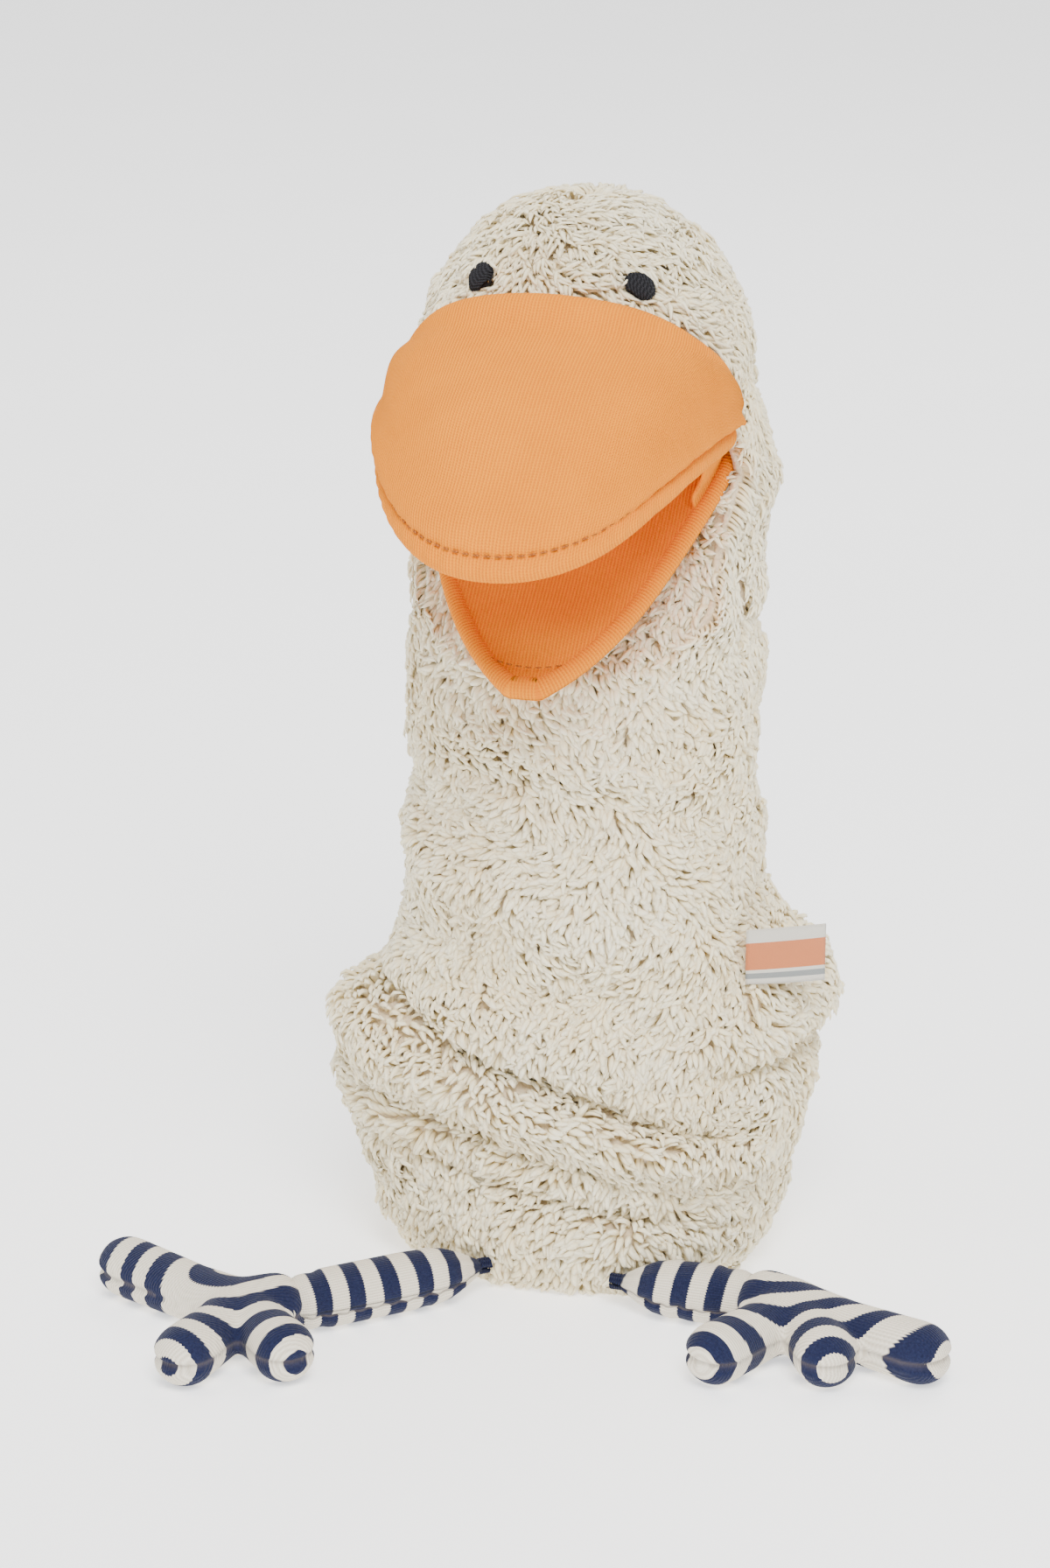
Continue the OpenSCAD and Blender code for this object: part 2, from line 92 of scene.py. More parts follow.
# Levels where the plush passes from one body to the next
WAIST, TWIST, NOD = (122, 142), (143, 179), (180, 204)
CUTS = (0, 143, 179, 215)
SKIN = 6.5  # how far the backing fabric lies inside the pile's surface
BACKING = 2.0


# ---------------------------------------------------------------- shape functions
def rounded(c, n):
    return np.sign(c) * np.abs(c) ** (2 / n)


def mix(a, b, t):
    return a + (b - a) * t


def hump(x, middle, half):
    """A smooth hump of height 1."""
    return np.exp(-(((x - middle) / half) ** 2))


def table(x, rows):
    return np.interp(x, *np.transpose(rows))


def xyz(*parts):
    """Points from their coordinates, each a number or an array."""
    return np.stack(np.broadcast_arrays(*parts), -1)


def station(z):
    """Below 1 on the tube of the sleeve, from 1 to 2 over its dome."""
    over = np.clip((z - DOME_Z) / DOME_H, 0, 1)
    return np.where(z < DOME_Z, z / DOME_Z, 1 + np.degrees(np.arcsin(over)) / 90)


def sleeve(t, a, inset):
    """Point of the sleeve at a station and an angle, set in from the outside."""
    t, a, inset = np.broadcast_arrays(*(np.asarray(x, float) for x in (t, a, inset)))
    z = np.minimum(t, 1) * DOME_Z
    over = np.radians(np.maximum(t - 1, 0) * 90)
    c = np.maximum(np.cos(over), 0.03)
    a = np.radians(a)
    return xyz((table(z, HALF_W) - inset) * c * rounded(np.cos(a), SQUARENESS),
               (table(z, HALF_D) - inset) * c * rounded(np.sin(a), SQUARENESS),
               z + (DOME_H - inset) * np.sin(over))


def away_from_front(a):
    return np.abs((np.asarray(a, float) - FRONT + 180) % 360 - 180)


def crown_low(away):
    """Lower edge of the head's plush: the beak seam, the mouth corner, then the side."""
    level = np.cos(np.radians(np.minimum(away, CORNER_A) * 90 / CORNER_A))
    arch = mix(CORNER_Z, ARCH_Z, level.clip(0) ** 0.35)
    side = mix(CORNER_Z, NOD[1], np.clip((away - CORNER_A) / (CHEEK_A - CORNER_A), 0, 1))
    return np.where(away < CORNER_A, arch, side)


def throat_high(away):
    """Upper edge of the plush under the lower beak. It peaks beside the corners of the mouth."""
    rise = (1 - np.cos(np.radians(np.minimum(away, THROAT_A)))) ** 1.6
    return mix(NOD[1] + 2, MOUTH_Z - 17, rise) + 26 * hump(away, 76, 6.5)


def waves(p, size, seed):
    """Smooth noise from about -1 to 1 over points, with bumps of about one size."""
    r = np.random.default_rng(seed)
    total = np.zeros(p.shape[:-1])
    for _ in range(7):
        way = r.normal(size=3)
        length = size * r.uniform(0.7, 1.5)
        total += np.sin(p @ (way / np.linalg.norm(way)) * 2 * math.pi / length + r.uniform(0, 6.3))
    return total / 3.2


# Folds of the slumped bag, and where it bulges: height on the middle line, slope towards +X,
# depth (out is positive), half width, the angle they are strongest at and how far they reach round
FOLDS = [
    (126, -0.30, 3.5, 9, 255, 62), (98, -0.30, -3.0, 11, 262, 60), (71, -0.29, -7.0, 4.5, 258, 62),
    (60, -0.24, 4.0, 6, 262, 70), (46, -0.22, -5.0, 3.5, 240, 45), (33, -0.18, -4.0, 3.5, 280, 50),
    (19, 0.00, 2.5, 8, 270, 90), (112, 0.24, -4.5, 5, 95, 60), (84, -0.18, -6.0, 5, 80, 70),
    (97, -0.05, 3.5, 7, 90, 80), (52, 0.20, -5.5, 4.5, 100, 65), (28, -0.10, 2.5, 8, 90, 90),
    (150, 0.20, -2.5, 7, 90, 70), (168, -0.15, -2.0, 6, 285, 50), (205, 0.18, -2.0, 7, 95, 60),
    (190, 0.10, 2.0, 9, 20, 50), (228, -0.15, 2.0, 9, 350, 50), (64, 0.15, -4.5, 5, 355, 40),
    (92, 0.10, 2.5, 8, 5, 40), (150, -0.20, -2.5, 7, 205, 40), (108, 0.30, -3.0, 5, 195, 40),
    (88, 0.00, 8.5, 27, 26, 32), (7, 0.00, 4.0, 12, 262, 45), (60, 0.00, 5.5, 32, 196, 34),
    (262, 0.00, 4.0, 20, 10, 30),
]
FOLD_DEPTH = 1.4  # how much deeper the folds are than their listed depth


def slump(p, a):
    """How far the sleeve's folds stand out at a point."""
    out = 1.1 * waves(p, 38, 3)
    for height, slope, depth, half, centre, spread in FOLDS:
        off = (np.asarray(a, float) - centre + 180) % 360 - 180
        line = p[..., 2] - height - slope * p[..., 0]
        out = out + FOLD_DEPTH * depth * np.exp(-((line / half) ** 2) - (off / spread) ** 2)
    return out * np.clip((DOME_Z - p[..., 2]) / 30, 0, 1)


def skin(t, a, inset=SKIN):
    """Point of the slumped sleeve."""
    p = sleeve(t, a, 0)
    return sleeve(t, a, inset - slump(p, a))


def turn(p, angle, axis=2):
    """Points turned about a coordinate axis."""
    c, s = math.cos(math.radians(angle)), math.sin(math.radians(angle))
    u, v = [(1, 2), (2, 0), (0, 1)][axis]
    q = np.array(p, float)
    q[..., u], q[..., v] = c * p[..., u] - s * p[..., v], s * p[..., u] + c * p[..., v]
    return q


def jaw_pose(p):
    return turn(p, JAW_DROP, 0) + (0, -MOUTH_Y, MOUTH_Z)


# ---------------------------------------------------------------- mesh making
def keep_fields(mesh, fields):
    """Values kept per point of a mesh, for its material. They replace any of the same name."""
    for field, values in fields.items():
        if field in mesh.attributes:
            mesh.attributes.remove(mesh.attributes[field])
        values = np.asarray(values, np.float32)
        kind, key = ("FLOAT_VECTOR", "vector") if values.ndim > 1 else ("FLOAT", "value")
        mesh.attributes.new(field, kind, "POINT").data.foreach_set(key, values.ravel())


def make_mesh(name, points, *faces, fields=None):
    """Object from points in millimetres and arrays of faces. fields are values kept per point."""
    mesh = bpy.data.meshes.new(name)
    loops = np.concatenate([f.ravel() for f in faces]).astype(np.int32)
    sides = np.concatenate([np.full(len(f), f.shape[1]) for f in faces])
    mesh.vertices.add(len(points))
    mesh.vertices.foreach_set("co", (np.asarray(points) * MM).astype(np.float32).ravel())
    mesh.loops.add(len(loops))
    mesh.loops.foreach_set("vertex_index", loops)
    mesh.polygons.add(len(sides))
    starts = np.concatenate([[0], np.cumsum(sides)[:-1]])
    mesh.polygons.foreach_set("loop_start", starts.astype(np.int32))
    mesh.polygons.foreach_set("use_smooth", np.ones(len(sides), bool))
    mesh.update(calc_edges=True)
    keep_fields(mesh, fields or {})
    obj = bpy.data.objects.new(name, mesh)
    bpy.context.scene.collection.objects.link(obj)
    return obj


def grid_faces(rows, cols, wrap=False, flip=False, start=0):
    """Quads of a grid whose columns run anticlockwise round an upward pile of rows."""
    i, j = np.meshgrid(np.arange(rows - 1), np.arange(cols if wrap else cols - 1), indexing="ij")
    k = (j + 1) % cols
    row, above = i * cols, (i + 1) * cols
    quads = np.stack([row + j, row + k, above + k, above + j], -1).reshape(-1, 4)
    return (quads[:, ::-1] if flip else quads) + start


def shell(name, outer, inner, wrap=False, cloth=None):
    """Closed piece of fabric between two grids of points. cloth is across and along, in mm."""
    rows, cols = outer.shape[:2]
    n = rows * cols
    at = np.arange(n).reshape(rows, cols)

    def strip(line, flip):
        pairs = np.stack([line[:-1], line[1:], line[1:] + n, line[:-1] + n], -1)
        return pairs[:, ::-1] if flip else pairs

    round_ = [np.append(r, r[0]) if wrap else r for r in (at[0], at[-1])]
    edges = [strip(round_[0], True), strip(round_[1], False)]
    if not wrap:
        edges += [strip(at[:, 0], False), strip(at[:, -1], True)]
    fields = {}
    if cloth is not None:
        flat = np.concatenate([cloth, np.zeros((rows, cols, 1))], -1).reshape(-1, 3)
        fields["cloth"] = np.concatenate([flat, flat])
    return make_mesh(
        name, np.concatenate([outer.reshape(-1, 3), inner.reshape(-1, 3)]),
        grid_faces(rows, cols, wrap), grid_faces(rows, cols, wrap, True, n), *edges,
        fields=fields)


def run_lengths(points, axis):
    """Length along each line of a grid, from its start."""
    step = np.linalg.norm(np.diff(points, axis=axis), axis=-1)
    zero = np.zeros_like(np.take(step, [0], axis))
    return np.concatenate([zero, np.cumsum(step, axis)], axis)


def cloth_of(grid, spin=0.0):
    """Across and along for a grid, as real lengths. Across is measured from the middle column."""
    across = run_lengths(grid, 1)
    across = across - across[:, across.shape[1] // 2][:, None]
    along = run_lengths(grid, 0)
    c, s = math.cos(spin), math.sin(spin)
    return np.stack([across * c - along * s, across * s + along * c], -1)


def unit(v):
    return v / np.maximum(np.linalg.norm(v, axis=-1, keepdims=True), 1e-9)


def normals(grid):
    """Unit normals of a grid of points."""
    return unit(np.cross(np.gradient(grid, axis=1), np.gradient(grid, axis=0)))


def tube(name, path, radius, sides=16):
    """Round tube with flat ends along a line of points. radius may change along it."""
    path = np.asarray(path, float)
    rows = len(path)
    run = unit(np.gradient(path, axis=0))
    side = np.cross(run, (0, 0, 1))
    side[np.linalg.norm(side, axis=1) < 1e-3] = (1, 0, 0)
    side = unit(side)
    over = np.cross(side, run)
    a = np.linspace(0, 2 * math.pi, sides, endpoint=False)
    r = np.broadcast_to(np.reshape(radius, (-1, 1)), (rows, sides))[..., None]
    out = np.cos(a)[:, None] * side[:, None] + np.sin(a)[:, None] * over[:, None]
    ring = path[:, None] + r * out
    points = np.concatenate([ring.reshape(-1, 3), path[[0, -1]]])
    n = rows * sides
    j = np.arange(sides)
    k = (j + 1) % sides
    low = np.stack([k, j, np.full(sides, n)], -1)
    high = np.stack([n - sides + j, n - sides + k, np.full(sides, n + 1)], -1)
    cloth = xyz(a * np.mean(r), run_lengths(path, 0)[:, None], 0.0).reshape(-1, 3)
    cloth = np.concatenate([cloth, cloth[[0, -1]]])
    return make_mesh(name, points, grid_faces(rows, sides, True, True), low, high,
                     fields={"cloth": cloth})


def join(name, pieces):
    """One piece from several, with their fields kept."""
    with bpy.context.temp_override(active_object=pieces[0], selected_editable_objects=pieces):
        bpy.ops.object.join()
    pieces[0].name = pieces[0].data.name = name
    return pieces[0]


# ---------------------------------------------------------------- materials
class Shade:
    """A material's node tree, with short ways to add nodes to it."""

    def __init__(self, name, roughness=0.9, sheen=0.0, specular=0.3, tint=(1, 1, 1, 1)):
        self.material = bpy.data.materials.new(name)
        self.material.use_nodes = True
        self.nodes, self.links = self.material.node_tree.nodes, self.material.node_tree.links
        self.surface = self.nodes["Principled BSDF"]
        self.surface.inputs["Roughness"].default_value = roughness
        self.surface.inputs["Specular IOR Level"].default_value = specular
        self.surface.inputs["Sheen Weight"].default_value = sheen
        self.surface.inputs["Sheen Roughness"].default_value = 0.45
        self.surface.inputs["Sheen Tint"].default_value = tint

    def put(self, socket, value):
        if isinstance(value, bpy.types.NodeSocket):
            self.links.new(value, socket)
        else:
            socket.default_value = value

    def math(self, op, a, b=0.0, c=0.0, clamp=False):
        node = self.nodes.new("ShaderNodeMath")
        node.operation, node.use_clamp = op, clamp
        for socket, value in zip(node.inputs, (a, b, c)):
            self.put(socket, value)
        return node.outputs[0]

    def field(self, name, part="Fac"):
        node = self.nodes.new("ShaderNodeAttribute")
        node.attribute_name = name
        return node.outputs[part]

    def cloth(self):
        """The across and along lengths of a fabric, in mm."""
        node = self.nodes.new("ShaderNodeSeparateXYZ")
        self.links.new(self.field("cloth", "Vector"), node.inputs[0])
        return node.outputs[0], node.outputs[1]

    def place(self):
        return self.nodes.new("ShaderNodeTexCoord").outputs["Object"]

    def scaled(self, vector, scale):
        node = self.nodes.new("ShaderNodeVectorMath")
        node.operation = "MULTIPLY"
        self.links.new(vector, node.inputs[0])
        node.inputs[1].default_value = scale
        return node.outputs[0]

    def noise(self, vector, scale, detail=3.0):
        node = self.nodes.new("ShaderNodeTexNoise")
        self.links.new(vector, node.inputs["Vector"])
        node.inputs["Scale"].default_value = scale
        node.inputs["Detail"].default_value = detail
        return node.outputs["Fac"]

    def ramp(self, value, *stops):
        node = self.nodes.new("ShaderNodeValToRGB")
        self.put(node.inputs[0], value)
        for k, (at, colour) in enumerate(stops):
            stop = node.color_ramp.elements[k] if k < 2 else node.color_ramp.elements.new(at)
            stop.position, stop.color = at, (*colour, 1)
        return node.outputs[0]

    def blend(self, t, a, b, kind="MIX"):
        node = self.nodes.new("ShaderNodeMix")
        node.data_type, node.blend_type = "RGBA", kind
        for socket, value in ((node.inputs[0], t), (node.inputs[6], a), (node.inputs[7], b)):
            self.put(socket, (*value, 1) if isinstance(value, tuple) else value)
        return node.outputs[2]

    def bump(self, height, distance, strength=1.0):
        node = self.nodes.new("ShaderNodeBump")
        node.inputs["Distance"].default_value = distance
        node.inputs["Strength"].default_value = strength
        self.links.new(height, node.inputs["Height"])
        self.links.new(node.outputs[0], self.surface.inputs["Normal"])

    def soft(self, weight, radius):
        """Light that passes a little way into the fabric."""
        self.surface.inputs["Subsurface Weight"].default_value = weight
        self.surface.inputs["Subsurface Radius"].default_value = (1.0, 0.85, 0.65)
        self.surface.inputs["Subsurface Scale"].default_value = radius

    def knit(self, across, along, wale=1.05, course=0.86):
        """Height of knitted stitches, from 0 to 1: ribs with slanting loops."""
        turns = self.math("DIVIDE", across, wale)
        rib = self.math("COSINE", self.math("MULTIPLY", turns, 2 * math.pi))
        rib = self.math("MULTIPLY_ADD", rib, 0.5, 0.5)
        lean = self.math("ABSOLUTE", self.math("SUBTRACT", self.math("FRACT", turns), 0.5))
        loop = self.math("ADD", self.math("DIVIDE", along, course), lean)
        loop = self.math("SINE", self.math("MULTIPLY", loop, 2 * math.pi))
        loop = self.math("MULTIPLY_ADD", loop, 0.5, 0.5)
        return self.math("ADD", self.math("MULTIPLY", rib, 0.72), self.math("MULTIPLY", loop, 0.28))

    def tinted(self, colour, *tints):
        """A colour multiplied by others."""
        for tint in tints:
            colour = self.blend(1.0, colour, tint, "MULTIPLY")
        return colour


# The wool darkens from tip to root: the darker root is painted shade in the gaps between the locks.
WOOL_TIP, WOOL_MID, WOOL_ROOT_SHADE = (0.99, 0.92, 0.70), (0.97, 0.87, 0.61), (0.86, 0.72, 0.46)
# The second orange is painted shade for the grooves between the jersey's ribs.
ORANGE, ORANGE_GROOVE_SHADE = (0.92, 0.30, 0.001), (0.74, 0.19, 0.0)
NAVY, NAVY_DEEP, CREAM = (0.012, 0.016, 0.050), (0.005, 0.006, 0.020), (0.86, 0.80, 0.67)


def pile_material():
    """Curly pile: each lock darkens towards its root as painted shade in the gaps between locks,
    with fibres along each lock.
    """
    s = Shade("wool_pile", roughness=0.95, sheen=0.20, specular=0.05, tint=(1.0, 0.95, 0.82, 1))
    fibre = s.noise(s.scaled(s.field("fibre", "Vector"), (3.0, 1.2, 1.0)), 1.0, 2.0)
    along = s.field("along")
    # painted shade: each lock darkens from its tip down to its root, in the gaps between locks
    base = s.ramp(along, (0.0, WOOL_ROOT_SHADE), (0.75, WOOL_TIP), (0.35, WOOL_MID))
    patches = s.ramp(s.noise(s.place(), 26.0), (0.3, (0.96, 0.92, 0.84)), (0.7, (1.0, 1.0, 1.0)))
    tone = s.ramp(s.field("tone"), (0.0, (0.94, 0.91, 0.85)), (1.0, (1.0, 1.0, 1.0)))
    streak = s.ramp(fibre, (0.3, (0.92, 0.89, 0.85)), (0.6, (1.0, 1.0, 1.0)))
    s.put(s.surface.inputs["Base Color"], s.tinted(base, patches, tone, streak))
    s.soft(0.25, 0.003)
    s.bump(fibre, 0.0004, 0.6)
    return s.material


def backing_material():
    """The fabric that the pile grows from. Its tan is darker than the pile: partly its own colour,
    partly painted shade, so that the gaps between the locks read as shaded wool.
    """
    s = Shade("wool_backing", roughness=0.95, sheen=0.2, specular=0.1)
    grain = s.noise(s.place(), 900.0)
    # darker tan than the pile: partly the backing's own colour, partly painted shade for the gaps
    # between the locks
    colour = s.ramp(grain, (0.3, (0.62, 0.50, 0.34)), (0.7, (0.78, 0.66, 0.47)))
    s.put(s.surface.inputs["Base Color"], colour)
    s.bump(grain, 0.0006)
    return s.material


def jersey_material(name, light, dark):
    """Fine jersey: ribs a stitch wide, with painted shade darkening the grooves between them, faint
    mottling.
    """
    s = Shade(name, roughness=0.85, sheen=0.10, specular=0.06, tint=(1.0, 0.6, 0.2, 1))
    across, along = s.cloth()
    stitch = s.knit(across, along)
    mottle = s.noise(s.place(), 60.0)
    # painted shade: the colour goes from the dark one in the grooves between stitches to the light
    # one on their tops
    colour = s.blend(s.math("MULTIPLY_ADD", stitch, 1.3, -0.15, True), dark, light)
    mottle = s.ramp(mottle, (0.3, (0.93, 0.90, 0.86)), (0.7, (1.0, 1.0, 1.0)))
    s.put(s.surface.inputs["Base Color"], s.tinted(colour, mottle))
    s.soft(0.06, 0.001)
    fuzz = s.math("MULTIPLY", s.noise(s.place(), 2500.0), 0.5)
    s.bump(s.math("ADD", stitch, fuzz), 0.0003)
    return s.material


STRIPE = 11.0  # a dark and a cream stripe together
SOCK_WALE = 0.85


def sock_material(name, phase):
    """Striped sock knit. The along length sets the stripe, whose edge steps at each stitch."""
    s = Shade(name, roughness=0.9, sheen=0.08, specular=0.08)
    across, along = s.cloth()
    step = s.math("FRACT", s.math("DIVIDE", across, SOCK_WALE))
    step = s.math("ABSOLUTE", s.math("SUBTRACT", step, 0.5))
    edge = s.math("MULTIPLY_ADD", step, 0.9, s.math("ADD", along, phase))
    turns = s.math("FRACT", s.math("DIVIDE", edge, STRIPE))
    cream = s.ramp(turns, (0.485, (0, 0, 0)), (0.515, (1, 1, 1)))
    stitch = s.knit(across, along, SOCK_WALE, 0.7)
    heather = s.noise(s.place(), 1500.0)
    dark = s.blend(heather, NAVY_DEEP, (0.022, 0.028, 0.075))
    # painted shade: the cream stripe darkens to tan in the grooves between stitches
    pale = s.blend(stitch, (0.62, 0.55, 0.44), CREAM)
    colour = s.blend(cream, dark, pale)
    colour = s.blend(s.math("MULTIPLY", s.field("seam"), 0.75), colour, (0.12, 0.10, 0.09))
    s.put(s.surface.inputs["Base Color"], colour)
    s.bump(stitch, 0.0003, 0.9)
    return s.material


def thread_material(name, dark, light):
    """Twisted thread, with strands that run along it."""
    s = Shade(name, roughness=0.8, sheen=0.05, specular=0.12)
    across, along = s.cloth()
    twist = s.math("SINE", s.math("MULTIPLY_ADD", along, 5.0, s.math("MULTIPLY", across, 4.0)))
    mixed = s.blend(s.math("MULTIPLY_ADD", twist, 0.5, 0.5), dark, light)
    s.put(s.surface.inputs["Base Color"], mixed)
    s.bump(twist, 0.00015)
    return s.material


def label_material():
    """Woven ribbon: a cream ground, a coloured panel and a thin grey band."""
    s = Shade("label_weave", roughness=0.6, sheen=0.15, specular=0.35)
    across, along = s.cloth()
    cream, grey, rust = (0.80, 0.76, 0.66), (0.30, 0.32, 0.31), (0.72, 0.22, 0.07)
    panel = s.ramp(s.math("DIVIDE", along, 18.0), (0.0, cream), (1.0, cream),
                   (0.10, cream), (0.105, grey), (0.20, grey), (0.205, cream),
                   (0.26, cream), (0.265, rust), (0.76, rust), (0.765, cream))
    warp, weft = (s.math("SINE", s.math("MULTIPLY", way, 14.0)) for way in (across, along))
    weave = s.math("MULTIPLY", warp, weft)
    shade = s.ramp(s.math("MULTIPLY_ADD", weave, 0.5, 0.5),
                   (0.0, (0.82, 0.82, 0.82)), (1.0, (1.0, 1.0, 1.0)))
    s.put(s.surface.inputs["Base Color"], s.tinted(panel, shade))
    s.bump(weave, 0.0001)
    return s.material


def finish_piece(obj, material, body, nodes=()):
    """Material and body of a piece, and the CAD nodes it stands for."""
    obj.data.materials.clear()
    obj.data.materials.append(material)
    if body:
        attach(obj, body)
    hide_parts(*nodes)
    return obj


# ---------------------------------------------------------------- plush: backing
def plush_backing(material):
    """Backing fabric of the whole sleeve, in four stretches cut at the joints. Only the head's
    stretch is attached to a body.
    """
    a = np.arange(0, 360, 2.5)
    away = away_from_front(a)

    def stretch(name, low, high, rows, top=False):
        v = np.linspace(0, 1, rows)[:, None]
        t = mix(station(low), station(high) if not top else 2.0, v)
        outer, inner = (skin(t, a[None, :], SKIN + k) for k in (0, BACKING))
        outer[..., 2], inner[..., 2] = (np.maximum(g[..., 2], 0.3) for g in (outer, inner))
        obj = shell(name, outer, inner, True)
        rise = float(run_lengths(outer, 0)[-1].max())
        return obj

    full = np.ones_like(away)
    past_throat = np.clip((away - THROAT_A) / 12, 0, 1)
    behind = mix(throat_high(THROAT_A), CUTS[3], past_throat)
    neck_top = np.where(away < THROAT_A, throat_high(away), behind)
    head_low = np.maximum(crown_low(away) + 1, np.where(away < CHEEK_A, 0, CUTS[3] - 1))
    bag = stretch("plush_bag_backing", CUTS[0] * full, CUTS[1] * full, 75)
    twist = stretch("plush_neck_backing", CUTS[1] * full - 0.5, CUTS[2] * full, 20)
    nape = stretch("plush_nape_backing", CUTS[2] * full - 0.5, neck_top, 26)
    head = stretch("plush_head_backing", head_low, 0 * full, 60, top=True)
    finish_piece(bag, material, None,
                 ("bag_front_panel", "bag_back_panel", "side_seam_left", "side_seam_right",
                  "waist_fold"))
    finish_piece(twist, material, None,
                 ("neck_lower_front", "neck_lower_back", "neck_fold", "neck_upper_front",
                  "neck_upper_back"))
    finish_piece(nape, material, None, ("nape_fold", "throat_fold"))
    finish_piece(head, material, "head", ("crown_left", "crown_right", "crown_filling"))
    bend(bag, "torso", "neck_lower", WAIST)
    bend(twist, "neck_lower", "neck_upper", TWIST)
    bend(nape, "neck_upper", "head", NOD)


def bend(obj, low_body, high_body, levels):
    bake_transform(obj)


# ---------------------------------------------------------------- plush: pile
def scatter(rows, spacing):
    """Stations and angles spread evenly over the sleeve, with some disorder."""
    ring = np.arange(0, 362, 2.0)
    ts, angles = [], []
    for t, rise in rows:
        line = sleeve(t, ring, SKIN)
        run = run_lengths(line, 0)
        count = max(int(run[-1] / spacing), 4)
        at = (np.arange(count) + rng.random() + rng.normal(0, 0.28, count)) * run[-1] / count
        angles.append(np.interp(at % run[-1], run, ring))
        ts.append(t + rng.uniform(-0.5, 0.5, count) * rise)
    return np.clip(np.concatenate(ts), 0.002, 1.985), np.concatenate(angles)


def tube_rows(z0, z1, spacing):
    return [(z / DOME_Z, spacing / DOME_Z) for z in np.arange(z0, z1, spacing)]


def dome_rows(spacing):
    step = spacing / (DOME_H * math.pi / 2)
    return [(1 + k, step) for k in np.arange(0, 0.985, step)]


def frames(t, a):
    """Root points of the pile, their outward normals and the way down the surface."""
    p = skin(t, a)
    up = skin(np.minimum(t + 0.004, 1.995), a) - skin(t - 0.004, a)
    side = skin(t, a + 0.6) - skin(t, a - 0.6)
    n = unit(np.cross(side, up))
    return p, n, unit(-up + n * np.sum(up * n, 1, keepdims=True))


LOCK_SIDES = 4
LOCK_STEPS = np.array([0.0, 0.3, 0.58, 0.84, 1.0])
LOCK_GIRTH = np.array([0.72, 1.0, 0.92, 0.6])


def grow(name, roots, height, reach, girth, swirl):
    """Locks of pile from root frames: each leaves the backing, leans over and curls."""
    p, n, down = roots
    count = len(p)
    wander = swirl * waves(p, 46, 21) + 0.45 * swirl * waves(p, 17, 22) + rng.normal(0, 0.30, count)
    side = np.cross(n, down)
    flow = np.cos(wander)[:, None] * down + np.sin(wander)[:, None] * side
    cross = np.cross(n, flow)
    clump = 1 + 0.20 * waves(p, 8.5, 23) + 0.12 * waves(p, 20, 24)
    tall = height * clump * rng.uniform(0.75, 1.15, count)
    long = reach * rng.uniform(0.7, 1.25, count)
    curl = rng.normal(0, 0.42, count) * reach
    thick = girth * rng.uniform(0.75, 1.25, count)
    u = LOCK_STEPS[None, :, None]
    tall, long, curl = (x[:, None, None] for x in (tall, long, curl))
    rise = tall * (1 - (1 - u) ** 1.9)
    rise = rise - 0.30 * tall * u ** 3
    spine = (p[:, None] - 0.8 * n[:, None] + rise * n[:, None]
             + long * u ** 1.45 * flow[:, None] + curl * u ** 2 * cross[:, None])
    spine[..., 2] = np.maximum(spine[..., 2], 0.9)
    run = unit(np.gradient(spine, axis=1))
    e1 = unit(np.cross(run, n[:, None] + 0.01))
    e2 = np.cross(e1, run)
    phi = np.arange(LOCK_SIDES) * 2 * math.pi / LOCK_SIDES
    r = thick[:, None, None, None] * LOCK_GIRTH[None, :, None, None]
    body = spine[:, :-1, None] + r * (np.cos(phi)[:, None] * e1[:, :-1, None] * 1.1
                                      + np.sin(phi)[:, None] * e2[:, :-1, None] * 0.85)
    rings = len(LOCK_GIRTH)
    per = rings * LOCK_SIDES + 1
    points = np.concatenate([body.reshape(count, -1, 3), spine[:, -1:]], 1)
    j = np.arange(LOCK_SIDES)
    k = (j + 1) % LOCK_SIDES
    band = np.stack([j, LOCK_SIDES + j, LOCK_SIDES + k, k], -1)
    quads = np.concatenate([i * LOCK_SIDES + band for i in range(rings - 1)])
    last = (rings - 1) * LOCK_SIDES
    tips = np.stack([last + j, np.full(LOCK_SIDES, per - 1), last + k], -1)
    start = (np.arange(count) * per)[:, None, None]
    seed = rng.uniform(0, 90, count)
    ring_u = np.append(np.repeat(LOCK_STEPS[:-1], LOCK_SIDES), 1.0)
    around = np.append(np.tile(np.cos(phi), rings), 0.0)
    fibre = xyz(around, ring_u * 2, seed[:, None])
    obj = make_mesh(name, points.reshape(-1, 3),
                    (quads[None] + start).reshape(-1, 4), (tips[None] + start).reshape(-1, 3),
                    fields={"along": np.tile(ring_u, count), "fibre": fibre.reshape(-1, 3),
                            "tone": np.repeat(rng.random(count), per)})
    lay_out(obj, count, quads, tips, per)
    return obj


def lay_out(obj, count, quads, tips, per):
    """Texture places for the locks: each has its own small cell."""
    side = math.ceil(math.sqrt(count))
    cell = np.stack([np.arange(count) % side, np.arange(count) // side], -1) / side
    local = np.zeros((per, 2))
    local[:-1, 0] = np.tile(np.linspace(0.12, 0.88, LOCK_SIDES), len(LOCK_GIRTH))
    local[:-1, 1] = np.repeat(mix(0.12, 0.88, LOCK_STEPS[:-1]), LOCK_SIDES)
    local[-1] = (0.5, 0.88)
    uv = [(cell[:, None] + local[f.ravel()][None] / side).reshape(-1, 2) for f in (quads, tips)]
    layer = obj.data.uv_layers.new(name="OFBake")
    layer.data.foreach_set("uv", np.concatenate(uv).astype(np.float32).ravel())


def clear_of_eyes(t, a, reach):
    """True where a lock isn't over an eye."""
    p = sleeve(t, a, 0)
    free = np.ones(len(t), bool)
    for side in (-1, 1):
        middle = (side * EYE_AT[0], EYE_AT[1] + 2.2, EYE_AT[2] + 3.2)
        free &= np.linalg.norm((p - middle) * (0.85, 1, 1), axis=1) > reach
    return free


